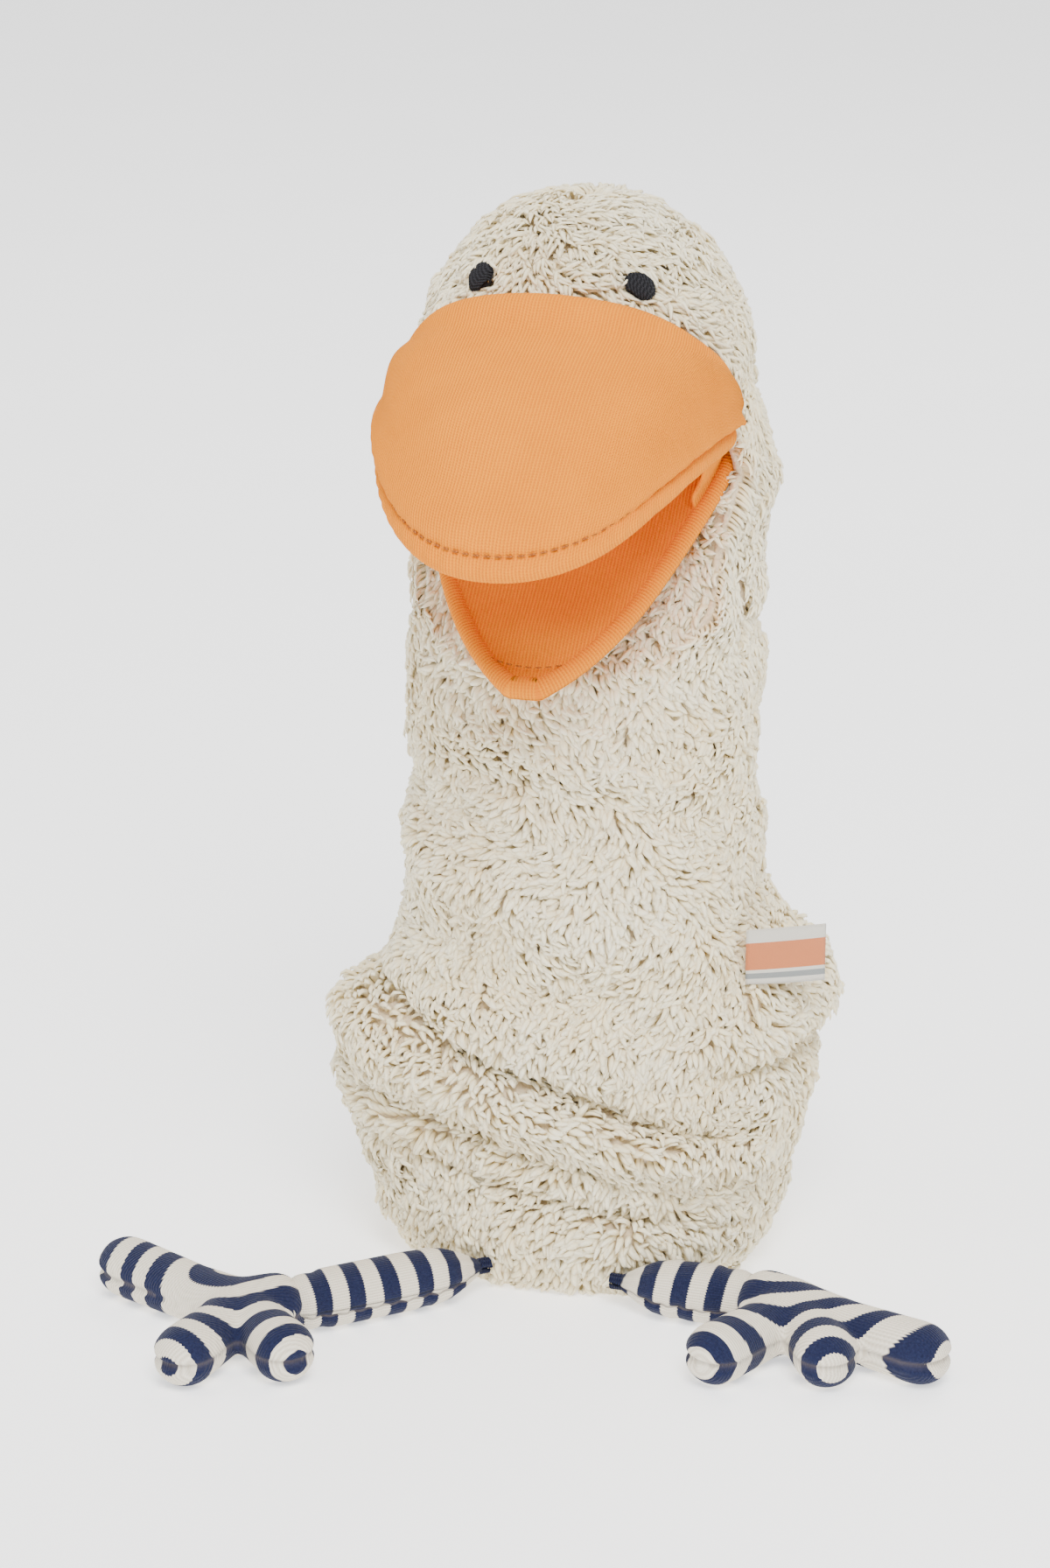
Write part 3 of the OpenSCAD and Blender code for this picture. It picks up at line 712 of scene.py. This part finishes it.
def plush_pile(material):
    """The pile in pieces cut at the joints. The three lowest ride the torso and the head's ride the
    head; the three that cross a joint are attached to no body. The head's is longer and finer.
    """
    spacing = 1.6
    t, a = scatter(tube_rows(1.2, CUTS[3], spacing), spacing)
    z, away = t * DOME_Z, away_from_front(a)
    low = z < np.where(away < THROAT_A, throat_high(away) - 1, 1e3)
    for name, z0, z1, bodies, levels in (
        ("pile_hem", 0, 36, None, None), ("pile_bag_low", 36, 72, None, None),
        ("pile_bag", 72, 107, None, None),
        ("pile_waist", 107, CUTS[1], ("torso", "neck_lower"), WAIST),
        ("pile_neck", CUTS[1], CUTS[2], ("neck_lower", "neck_upper"), TWIST),
        ("pile_nape", CUTS[2], CUTS[3], ("neck_upper", "head"), NOD)):
        pick = low & (z >= z0) & (z < z1)
        obj = grow(name, frames(t[pick], a[pick]), 5.4, 5.6, 0.98, 1.25)
        finish_piece(obj, material, None if bodies else "torso")
        if bodies:
            bend(obj, *bodies, levels)
    fine = 1.45
    t, a = scatter(tube_rows(CUTS[3], DOME_Z, fine) + dome_rows(fine), fine)
    away = away_from_front(a)
    height = skin(t, a, 0)[:, 2]
    over = height > crown_low(away) + 1.0
    under = (away < THROAT_A) & (t < 1) & (t * DOME_Z < throat_high(away) - 1)
    pick = over & clear_of_eyes(t, a, 4.3)
    for name, half in (("pile_head_low", pick & (t < 0.93)),
                       ("pile_head_mid", pick & (t >= 0.93) & (t < 1.3)),
                       ("pile_head_top", pick & (t >= 1.3)), ("pile_throat", under)):
        obj = grow(name, frames(t[half], a[half]), 5.2, 6.6, 0.72, 0.9)
        finish_piece(obj, material, "head")


# ---------------------------------------------------------------- beak
def outline(s, inset):
    s = np.radians(90 * np.asarray(s, float))
    return ((BEAK_W / 2 - inset) * rounded(np.sin(s), BEAK_ROUND),
            -BEAK_ROOT - (BEAK_REACH - BEAK_ROOT - inset) * rounded(np.cos(s), BEAK_ROUND))


def mouth_line(y):
    """Height of the mouth along the upper beak, dipping in a wave towards the tip."""
    return MOUTH_Z + table(-y, [[0, 2], [25, 3.6], [45, 4.2], [62, 2.4], [80, -2], [100, -10],
                                [BEAK_REACH, -15.5]])


def beak_top(s, v, inset):
    """Point of the top panel: s across from -1 to 1, v from the rim seam to the forehead."""
    root = sleeve(station(crown_low(np.abs(s) * CORNER_A) - 0.4), FRONT + s * CORNER_A, inset)
    x, y = outline(s, inset)
    root = root - xyz(0, 0, 3.5 * hump(np.abs(s), 0.80, 0.30))
    crest = np.sin(np.pi * v) * (11 - 5 * np.abs(s)) - 0.8 * inset
    rim = xyz(x, y, mouth_line(y) + RIM_H)
    full = np.maximum(crest, 0)
    return mix(rim, root, v[..., None]) + xyz(0.5 * s * full, -0.5 * full, 0.8 * crest)


def upper_beak(jersey, thread):
    """Stuffed top panel that rolls over the rim seam, and the ribbed band round the mouth."""
    s = np.sin(np.linspace(-1, 1, 141) * math.pi / 2)[None, :] * 0.999
    v = (np.linspace(0, 1, 91) ** 1.35)[:, None]
    s, v = np.broadcast_arrays(s, v)
    top = beak_top(s, v, 0.6)
    n = normals(top)
    rim_roll = 2.6 * hump(v, 0.09, 0.085) - 2.4 * hump(v, 0, 0.022)
    brow_roll = 6.0 * hump(v, 0.93, 0.07) * (1 - np.abs(s) ** 1.3)
    brow_roll = brow_roll - 3.0 * ((v - 0.97) / 0.03).clip(0, 1) ** 2
    puff = rim_roll + brow_roll + 0.5 * waves(top, 30, 31) * np.sin(np.pi * v)
    puckers = 0.35 * np.sin(run_lengths(top, 1) * 2 * math.pi / 7.5) * hump(v, 0, 0.06)
    top = top + n * (puff + puckers)[..., None]
    panel = shell("upper_beak_panel", top, top - 1.2 * n, cloth=cloth_of(top, 0.06))
    finish_piece(panel, jersey, "head", ("upper_beak_top", "upper_beak_filling"))

    s = np.linspace(-1.04, 1.04, 181)[None, :]
    v = np.linspace(0, 1, 17)[:, None]
    x, y = outline(s, 0.6)
    x = x - 5.0 * np.sign(s) * ((np.abs(s) - 0.97) / 0.07).clip(0) ** 2
    band = xyz(x, y, mouth_line(y) + (RIM_H + 0.4) * v)
    out = np.cross(unit(np.gradient(band, axis=1)), (0, 0, 1))
    swell = 2.3 * np.sin(np.pi * np.clip(v * 0.95 + 0.05, 0, 1)) ** 0.7 - 1.8
    ripple = 0.25 * np.sin(run_lengths(band, 1) * 2 * math.pi / 6.1)
    band = band + out * (swell + ripple * np.sin(np.pi * v))[..., None]
    rim = shell("upper_beak_band", band, band - 1.4 * out, cloth=cloth_of(band))
    finish_piece(rim, jersey, "head", ("upper_beak_rim",))
    x, y = outline(np.linspace(-0.985, 0.985, 240), 1.4)
    seam = xyz(x, y, mouth_line(y) + RIM_H + 0.5)
    stitches(seam, "upper_beak_stitches", thread, "head", 3.2, 0.32)


def pose_mesh(obj, pose):
    """Turns a piece's points from where it is drawn to where it lies."""
    co = np.zeros(len(obj.data.vertices) * 3)
    obj.data.vertices.foreach_get("co", co)
    obj.data.vertices.foreach_set("co", (pose(co.reshape(-1, 3) / MM) * MM).ravel())
    obj.data.update()


def stitches(path, name, material, body, pitch, radius):
    """Short stitches along a seam, each a small sunk loop of thread."""
    run = run_lengths(path, 0)
    pieces = []
    for k, start in enumerate(np.arange(1, run[-1] - pitch, pitch)):
        at = start + np.linspace(0, 0.62 * pitch, 6)
        line = xyz(*(np.interp(at, run, c) for c in path.T))
        pieces.append(tube(f"{name}_{k}", line, radius * np.array([0.6, 1, 1, 1, 1, 0.6]), 6))
    return finish_piece(join(name, pieces), material, body)


def palate(jersey):
    """Roof of the mouth, padded a little between the tip and the crease."""
    u = np.linspace(0, 1, 50)[:, None]
    t = np.linspace(-1, 1, 61)[None, :]
    y = mix(-BEAK_REACH + 4.5, -MOUTH_Y - 4, u)
    reach = np.clip((-y - BEAK_ROOT) / (BEAK_REACH - BEAK_ROOT - 3), 0, 1)
    beside = (1 - reach ** BEAK_ROUND).clip(0.0004) ** (1 / BEAK_ROUND)
    half = np.where(-y > BEAK_ROOT, (BEAK_W / 2 - 3) * beside, 44)
    lift = 1.4 * (1 - t ** 2) + 0.4 * waves(xyz(t * half, y, 0), 25, 41)
    low = xyz(t * half, y, mouth_line(y) - 0.2 + lift)
    roof = shell("palate_lining", low + (0, 0, 1.6), low, cloth=cloth_of(low))
    finish_piece(roof, jersey, "head", ("palate",))


def jaw_half(l):
    return JAW_W / 2 * (1 - (l / JAW_LEN) ** 2).clip(0) ** 0.65


def root_flare(l):
    """The lower beak widens a little towards the corners of the mouth."""
    return 6.0 * hump(l, 0, 28)


def jaw_depth(l):
    return table(l, [[0, 21], [50, 18], [80, 9], [JAW_LEN, 4]])


def lower_beak(jersey, thread):
    """Hanging lower beak: dished lining, stuffed cover, rolled edge and the seam at its tip."""
    l = mix(0.968 * JAW_LEN, 0.8, np.linspace(0, 1, 74) ** 1.2)[:, None]
    t = np.sin(np.linspace(-1, 1, 81) * math.pi / 2)[None, :]
    half = jaw_half(l) + root_flare(l) - EDGE_D * 0.72
    flat = xyz(t * half, -l, 0.0)
    hollow = 1 - np.abs(t) ** 2.5
    dish = 1.9 * hollow - 0.7 * waves(flat, 34, 51) - 1.4 * hump(l, 70, 9) * (1 - t ** 2)
    lining = flat - xyz(0, 0, dish + 0.2)
    face = shell("lower_beak_face", lining, lining - (0, 0, 1.6), cloth=cloth_of(lining))
    drop = 2.6 + (jaw_depth(l) - 0.4) * np.sqrt(hollow)
    flat[..., 1] = np.minimum(flat[..., 1], 0.4 * flat[..., 1] - 0.6 * JAW_ROOT)
    cover = flat + xyz(0.06 * drop * t, 0, -drop)
    under = shell("lower_beak_under", cover + (0, 0, 1.6), cover, cloth=cloth_of(cover))
    u = np.linspace(-1, 1, 141)
    le = 0.8 + (JAW_LEN - 3.3) * np.cos(np.radians(90 * u))
    path = xyz(np.sign(u) * (jaw_half(le) + root_flare(le) - EDGE_D / 2), -le, 0.9 - EDGE_D / 2)
    grown = 1 + 0.22 * hump(u, 0, 0.16)
    edge = tube("lower_beak_roll", path, EDGE_D / 2 * 1.12 * grown, 24)
    turn_ribs(edge)
    for obj, nodes in ((face, ("lower_beak_lining",)), (edge, ("lower_beak_edge",)),
                       (under, ("lower_beak_cover", "lower_beak_filling"))):
        pose_mesh(obj, jaw_pose)
        finish_piece(obj, jersey, "jaw", nodes)
    x = np.linspace(-16, 16, 60)
    tip = xyz(x, -JAW_LEN + 8.5 + 0.016 * x ** 2, 0.55)
    seam = stitches(tip, "lower_beak_stitches", thread, "jaw", 3.0, 0.3)
    pose_mesh(seam, jaw_pose)


def turn_ribs(obj):
    """Swaps across and along, so that ribs run round a tube."""
    layer = obj.data.attributes["cloth"].data
    values = np.zeros(len(layer) * 3, np.float32)
    layer.foreach_get("vector", values)
    values = values.reshape(-1, 3)[:, [1, 0, 2]]
    layer.foreach_set("vector", values.ravel())


def mouth_roll(jersey):
    """The rolled seam where the two beaks hinge."""
    x = np.linspace(-41, 41, 60)
    path = xyz(x, -MOUTH_Y, MOUTH_Z + 0.25 * np.sin(x / 3))
    roll = tube("mouth_roll", path, 1.9 + 0.15 * np.sin(x * 2.2), 16)
    finish_piece(roll, jersey, "head", ("mouth_seam",))


def mouth_gusset(side, name, jersey):
    """Folded corner of the mouth, between the upper beak's band and the lower beak's roll."""
    u = np.linspace(0, 1, 30)
    x, y = outline(side * mix(0.94, 1.06, u), 1.8)
    high = xyz(x, y, mouth_line(y) + 1.5)
    le = mix(25.0, 2.5, u)
    low = jaw_pose(xyz(side * (jaw_half(le) + root_flare(le) - EDGE_D * 0.6), -le, -1.0))
    v = np.linspace(0, 1, 20)[:, None]
    web = mix(low[None], high[None], v[..., None])
    web[..., 0] -= side * (3.5 * np.sin(np.pi * v) + 0.8 * np.sin(3 * np.pi * v)) * (1 - 0.5 * u)
    web = web[:, ::side]
    obj = shell(f"mouth_gusset_{name}", web, web - 1.0 * normals(web), cloth=cloth_of(web))
    finish_piece(obj, jersey, None)
    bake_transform(obj)


def chin_web(backing, pile):
    """Soft web from the throat's edge to the root of the lower beak."""
    u = np.linspace(-1, 1, 61)
    away = THROAT_A * u
    low = sleeve(station(throat_high(np.abs(away)) - 3), FRONT + away, SKIN)
    drop = 3.5 + (jaw_depth(JAW_ROOT) + 1.5) * np.sqrt(1 - np.abs(u) ** 2.5)
    back = JAW_ROOT + 4.0
    high = jaw_pose(xyz(u * (jaw_half(np.array(back)) - 1), -back, -drop))
    v = np.linspace(0, 1, 24)[:, None, None]
    web = mix(low[None], high[None], v)
    n = normals(web)
    web = web + 2.0 * np.sin(np.pi * v) * n
    obj = shell("chin_web", web, web - 1.2 * n, cloth=cloth_of(web))
    roots = [np.tile(g[1:-2].reshape(-1, 3), (2, 1)) for g in (web, n, -np.gradient(web, axis=0))]
    roots[0] = roots[0] + rng.normal(0, 0.5, roots[0].shape)
    roots[2] = unit(roots[2])
    fluff = grow("pile_chin", roots, 4.2, 5.6, 0.85, 0.8)
    # The web takes the backing's darker colour, partly painted shade under its pile.
    for piece, material in ((obj, backing), (fluff, pile)):
        finish_piece(piece, material, None)
        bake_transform(piece)


# ---------------------------------------------------------------- eyes, label, hem, pockets
def eyes(thread):
    """Embroidered eyes: rows of satin stitch packed into an oval."""
    for side, name in ((-1, "left"), (1, "right")):
        rows = []
        for k, off in enumerate(np.linspace(-3.1, 3.1, 13)):
            half = 4.5 * math.sqrt(max(1 - (off / 3.5) ** 2, 0)) + rng.uniform(-0.1, 0.35)
            x = np.linspace(-half, half, 9)
            bulge = 0.6 - 0.45 * (x / 4.5) ** 2 - 0.3 * (off / 3.3) ** 2
            bulge[[0, -1]] -= 0.9
            line = xyz(x, off + 0.08 * x + rng.normal(0, 0.05), bulge)
            rows.append(tube(f"row_{k}", line, 0.42, 8))
        pad = np.linspace(0, 1, 7)[:, None]
        ring = np.radians(np.arange(0, 360, 12))[None, :]
        dome = xyz(4.6 * pad * np.cos(ring), 3.4 * pad * np.sin(ring), 0.4 - 1.5 * pad ** 2)
        rows.append(shell("pad", dome[::-1], dome[::-1] - (0, 0, 1.2), True,
                          cloth=np.zeros((7, 30, 2))))
        eye = join(f"eye_stitching_{name}", rows)
        at, splay = np.array(EYE_AT) * (side, 1, 1), side * EYE_SPLAY
        pose_mesh(eye, lambda p: turn(turn(p + EYE_SHIFT, EYE_TILT, 0), splay, 1) + at)
        finish_piece(eye, thread, "head", (f"eye_{name}",))


LABEL_W, LABEL_ROOT = 21, 4  # outside the seam, and sewn into it


def label(material):
    """Folded ribbon sewn into the side seam, curling at its free end."""
    low, high = (np.array(c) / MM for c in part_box("label_tab"))
    width, tall = LABEL_W + LABEL_ROOT, high[2] - low[2]
    root = sleeve(station((low[2] + high[2]) / 2), RIGHT_SEAM, -2.0)
    u = np.linspace(0, 1, 22)[None, :]
    v = np.linspace(0, 1, 16)[:, None]
    span = u * width
    bend_out = 1.6 * u ** 2 + 0.5 * np.sin(3 * v) * u
    flat = xyz(span, bend_out, low[2] + v * tall + 0.6 * u * np.sin(2 * v))
    near = turn(flat, 20) + (root[0], root[1], 0)
    n = normals(near)
    obj = shell("label_ribbon", near + 0.45 * n, near - 0.45 * n, cloth=xyz(span, v * tall))
    finish_piece(obj, material, "torso", ("label_tab",))


def hem_band(material):
    """Jersey facing inside the arm opening."""
    a = np.arange(0, 360, 3.0)[None, :]
    z = np.linspace(0.6, 16, 12)[:, None]
    inset = 9.6 + 0.35 * np.sin(np.radians(a * 14)) * (z / 16)
    outer, inner = (sleeve(z / DOME_Z, a, inset + k) for k in (0, 1.0))
    obj = shell("hem_band", outer, inner, True, cloth=cloth_of(outer))
    finish_piece(obj, material, "torso", ("hem_facing",))
    around = float(run_lengths(outer, 1)[:, -1].mean()) * a.shape[1] / (a.shape[1] - 1)


def pocket(name, node, body, material, low, high, pose=None):
    """Flat fabric pocket, open at the back, with soft corners."""
    middle, half = (np.array(low) + high) / 2, (np.array(high) - low) / 2
    a = np.radians(np.arange(0, 360, 6))[None, :]
    y = np.linspace(-1, 1, 26)[:, None]
    shrink = np.where(y < -0.8, np.sqrt(1 - ((-0.8 - y) / 0.2).clip(0, 0.999) ** 2), 1.0)
    sag = 1 + 0.05 * np.sin(5 * a + 3 * y)

    def wall(t):
        x = (half[0] - t) * rounded(np.cos(a), 4) * np.sqrt(shrink)
        z = (half[2] - t) * rounded(np.sin(a), 4) * shrink * sag
        return xyz(x, -half[1] * y, z) + middle

    outer, inner = wall(0)[::-1], wall(0.9)[::-1]
    obj = shell(name, outer, inner, True, cloth=cloth_of(outer))
    if pose:
        pose_mesh(obj, pose)
    return finish_piece(obj, material, body, (node,))


# ---------------------------------------------------------------- legs and feet
def heading(a):
    return np.array([math.cos(math.radians(a)), math.sin(math.radians(a)), 0.0])


def leg(side, spec, material):
    """Striped tube gathered to a stitched point at the hip, with a pinched seam along it."""
    length, way = spec["length"], heading(spec["heading"])
    across = np.cross((0, 0, 1), way)
    l = np.linspace(0.6, length + 3.5, 90)[:, None]
    phi = np.arange(0, 360, 4.0)[None, :]
    r = table(l, [[0, 1.2], [3, 2.6], [8, 5.6], [13, 7.9], [19, 9.2], [30, LEG_R],
                  [length - 9, LEG_R], [length - 2, 8.6], [length + 3.5, 6.5]])
    off = (phi - spec["seam"] + 180) % 360 - 180
    gather = 0.10 * np.sin(np.radians(phi * 9)) * np.exp(-l / 9)
    ruck = 0.75 + 0.25 * np.sin(l * 2 * math.pi / 5.2)
    pinch = -1.3 * hump(off, 0, 9) * ruck * np.clip(l / 12, 0, 1)
    crease = -0.6 * hump(l, length - 7, 2.2) - 0.5 * hump(l, 22, 2.5) * np.cos(np.radians(off / 2))
    r = r * (1 + gather) + pinch + crease
    c, s = np.cos(np.radians(phi))[..., None], np.sin(np.radians(phi))[..., None]
    ring = r[..., None] * (c * across + s * (0, 0, 1))
    p = np.array([*spec["hip"], LEG_R]) + l[..., None] * way + ring
    p[..., 2] = np.maximum(p[..., 2], 0.25 + 0.02 * np.abs(p[..., 2]))
    shift = np.where(off < 0, 2.3, 0.0) * np.clip(1 - np.abs(off) / 170, 0, 1)
    along = l + shift + 0.5 * waves(p, 22, 61)
    rows, cols = p.shape[:2]
    cloth = xyz(np.radians(phi) * LEG_R, along, 0).reshape(-1, 3)
    seam = hump(off, 0, 2.2) * np.ones_like(l)
    obj = make_mesh(f"leg_sock_{side}", p.reshape(-1, 3), grid_faces(rows, cols, True, True),
                    np.arange(cols)[None, :], (np.arange(cols)[::-1] + (rows - 1) * cols)[None, :],
                    fields={"cloth": cloth, "seam": seam.ravel()})
    finish_piece(obj, material, f"leg_{side}", (f"leg_tube_{side}", f"leg_filling_{side}"))


def foot(side, spec, material):
    """Three stuffed toes and the web between them, in one skin with stripes that ring each toe."""
    hip = np.array([*spec["hip"], LEG_R])
    centre = hip + spec["length"] * heading(spec["heading"]) + FOOT_REACH * heading(spec["foot"])
    limbs = [(heading(a), reach, TOE_R) for a, reach in spec["toes"]]
    parts = []
    for k, (way, reach, r) in enumerate(limbs):
        cap = reach - r
        l = np.concatenate([np.linspace(0, cap, 24), cap + r * np.sin(np.linspace(0.1, 1.5, 10))])
        girth = table(l, [[0, 1.05 * r], [0.35 * reach, 0.93 * r], [cap, r]])
        girth = np.where(l > cap, r * np.sqrt((1 - ((l - cap) / r) ** 2).clip(0.003)), girth)
        parts.append(tube(f"toe_{k}", centre + l[:, None] * way, girth, 32))
    back = -heading(spec["foot"])
    l = np.linspace(0, FOOT_REACH + 2, 20)
    over = ((l - FOOT_REACH + 6) / 9).clip(0)
    girth = STUB_R * np.sqrt((1 - over ** 2).clip(0.01))
    parts.append(tube("stub", centre + l[:, None] * back, girth, 32))
    web = np.linspace(-1, 1, 15)
    girth = 14.5 * np.sqrt(1 - (0.97 * web) ** 2)
    parts.append(tube("web", centre + np.outer(web * 8.2, (0, 0, 1)), girth, 40))
    obj = join(f"foot_sock_{side}", parts)
    smooth_union(obj, 1.3 * MM, 14)
    co = np.zeros(len(obj.data.vertices) * 3)
    obj.data.vertices.foreach_get("co", co)
    p = co.reshape(-1, 3) / MM
    q = p - centre
    tip_way = []
    for way, reach, r in limbs:
        ahead = q @ way
        beside = np.linalg.norm(q - ahead[:, None] * way, axis=1)
        over = np.maximum(ahead - (reach - r), 0)
        run = np.where(ahead > reach - r, (reach - r) + r * np.arctan2(over, beside), ahead)
        tip_way.append(reach - r + r * math.pi / 2 - run)
    tip_way = np.array(tip_way)
    along = -4.0 * np.log(np.exp(-tip_way / 4.0).sum(0))
    flat = heading(spec["foot"] + 90)
    seam = hump(p[:, 2], LEG_R, 0.55) * (along < 34)
    pinch = 1 - 0.05 * hump(p[:, 2], LEG_R, 1.4)
    p = centre + q * xyz(pinch, pinch, 0.98)
    p[:, 2] = np.maximum(p[:, 2], 0.2)
    obj.data.vertices.foreach_set("co", (p * MM).ravel())
    cloth = xyz(q @ flat, along + 0.6 * waves(p, 20, 71), 0.0)
    keep_fields(obj.data, {"cloth": cloth, "seam": seam})
    finish_piece(obj, material, f"foot_{side}",
                 (f"foot_upper_{side}", f"foot_under_{side}", f"foot_filling_{side}"))


def smooth_union(obj, voxel, passes):
    """One closed skin round overlapping parts, with their creases softened."""
    remesh = obj.modifiers.new("union", "REMESH")
    remesh.mode, remesh.voxel_size, remesh.use_smooth_shade = "VOXEL", voxel, True
    soften = obj.modifiers.new("soften", "SMOOTH")
    soften.factor, soften.iterations = 0.5, passes
    made = bpy.data.meshes.new_from_object(obj.evaluated_get(bpy.context.evaluated_depsgraph_get()))
    obj.modifiers.clear()
    obj.data = made
    made.polygons.foreach_set("use_smooth", np.ones(len(made.polygons), bool))


def hip_knot(side, spec, material):
    """Turns of thread that gather the leg to a point and sew it to the bag."""
    u = np.linspace(0, 1, 90)
    hip = np.array([*spec["hip"], LEG_R])
    way = heading(spec["heading"])
    across = np.cross((0, 0, 1), way)
    wind = (2 * math.pi * 5 * u)[:, None]
    path = (hip + (u * 3.6 - 1.2)[:, None] * way
            + 2.2 * (np.cos(wind) * across + np.sin(wind) * (0, 0, 1.0)))
    knot = tube(f"hip_thread_{side}", path, 0.45, 8)
    finish_piece(knot, material, f"leg_{side}", (f"hip_stitch_{side}",))


def ankle_thread(side, spec, material):
    """Thread that closes the end of the leg inside the foot."""
    ankle = np.array([*spec["hip"], LEG_R]) + spec["length"] * heading(spec["heading"])
    way = heading(spec["foot"])
    across = np.cross((0, 0, 1), way)
    wind = np.linspace(0, 2 * math.pi * 3, 80)[:, None]
    path = (ankle + 2.0 * (np.cos(wind) * way + np.sin(wind) * (0, 0, 1.0))
            + np.linspace(-5, 5, 80)[:, None] * across)
    obj = tube(f"ankle_thread_{side}", path, 0.45, 8)
    finish_piece(obj, material, f"foot_{side}", (f"ankle_seam_{side}",))


# ---------------------------------------------------------------- stage, light and camera
AZIMUTH, ELEVATION, DISTANCE = 15, 20, 1.2
TARGET = Vector((-12.6, -24.1, 161.5)) * MM
VIEW_HEIGHT = 0.484  # metres of the object's plane in the frame's height
FLOOR_REACH = 4e3
LAMPS = {  # place, size and power
    "key": ((0.5, -1.1, 1.7), 0.9, 56), "fill": ((-1.5, -0.9, 0.9), 1.4, 10),
    "back": ((0.2, 1.3, 1.5), 1.2, 16),
}


def studio():
    """Pale floor, soft light from all round, and the camera."""
    corners = FLOOR_REACH * np.array([(-1, -1, 0), (1, -1, 0), (1, 1, 0), (-1, 1, 0)])
    floor = make_mesh("floor", corners, np.array([[0, 1, 2, 3]]))
    s = Shade("floor_paper", roughness=0.95, specular=0.05)
    grain = s.noise(s.place(), 8.0)
    paper = s.ramp(grain, (0.3, (0.90, 0.90, 0.90)), (0.7, (0.92, 0.92, 0.92)))
    s.put(s.surface.inputs["Base Color"], paper)
    s.surface.inputs["Emission Color"].default_value = (1, 1, 1, 1)
    s.surface.inputs["Emission Strength"].default_value = 1.0
    floor.data.materials.append(s.material)
    world = bpy.data.worlds.new("studio")
    bpy.context.scene.world = world
    world.use_nodes = True
    world.node_tree.nodes["Background"].inputs[0].default_value = (1, 1, 1, 1)
    world.node_tree.nodes["Background"].inputs[1].default_value = 0.95
    for name, (place, size, power) in LAMPS.items():
        lamp = bpy.data.lights.new(name, "AREA")
        lamp.energy, lamp.size = power, size
        obj = bpy.data.objects.new(name, lamp)
        obj.location = place
        aim = Vector((0, 0, 0.15)) - Vector(place)
        obj.rotation_euler = aim.to_track_quat("-Z", "Y").to_euler()
        bpy.context.scene.collection.objects.link(obj)
    camera = bpy.data.objects.new("camera", bpy.data.cameras.new("camera"))
    a, e = math.radians(AZIMUTH), math.radians(ELEVATION)
    back = Vector((math.sin(a) * math.cos(e), -math.cos(a) * math.cos(e), math.sin(e)))
    camera.location = TARGET + back * DISTANCE
    camera.rotation_euler = (-back).to_track_quat("-Z", "Y").to_euler()
    camera.data.lens = camera.data.sensor_width * DISTANCE / VIEW_HEIGHT
    bpy.context.scene.collection.objects.link(camera)
    bpy.context.scene.camera = camera


def main():
    studio()
    pile, backing = pile_material(), backing_material()
    # Each jersey's second colour is painted shade for the grooves between its ribs.
    jersey = jersey_material("beak_jersey", ORANGE, ORANGE_GROOVE_SHADE)
    facing = jersey_material("facing_jersey", (0.82, 0.78, 0.68), (0.66, 0.60, 0.48))
    black = thread_material("eye_thread", (0.006, 0.006, 0.007), (0.022, 0.022, 0.026))
    navy = thread_material("navy_thread", NAVY_DEEP, NAVY)
    rust = thread_material("seam_thread", (0.30, 0.08, 0.01), (0.50, 0.15, 0.02))
    plush_backing(backing)
    plush_pile(pile)
    upper_beak(jersey, rust)
    palate(jersey)
    lower_beak(jersey, rust)
    mouth_roll(jersey)
    chin_web(backing, pile)
    for side, name in ((-1, "left"), (1, "right")):
        mouth_gusset(side, name, jersey)
    eyes(black)
    label(label_material())
    hem_band(facing)
    pocket("finger_pocket_cloth", "finger_pocket", "head", jersey,
           (-31.2, -65.2, 278), (31.2, 2, 293.4))
    pocket("thumb_pocket_cloth", "thumb_pocket", "jaw", jersey,
           (-14, -47, -17.6), (14, -8, -4.2), jaw_pose)
    for side, spec in LEGS.items():
        sock = sock_material(f"sock_knit_{side}", 0.0)
        leg(side, spec, sock)
        foot(side, spec, sock_material(f"foot_knit_{side}", spec["phase"]))
        hip_knot(side, spec, navy)
        ankle_thread(side, spec, navy)


main()
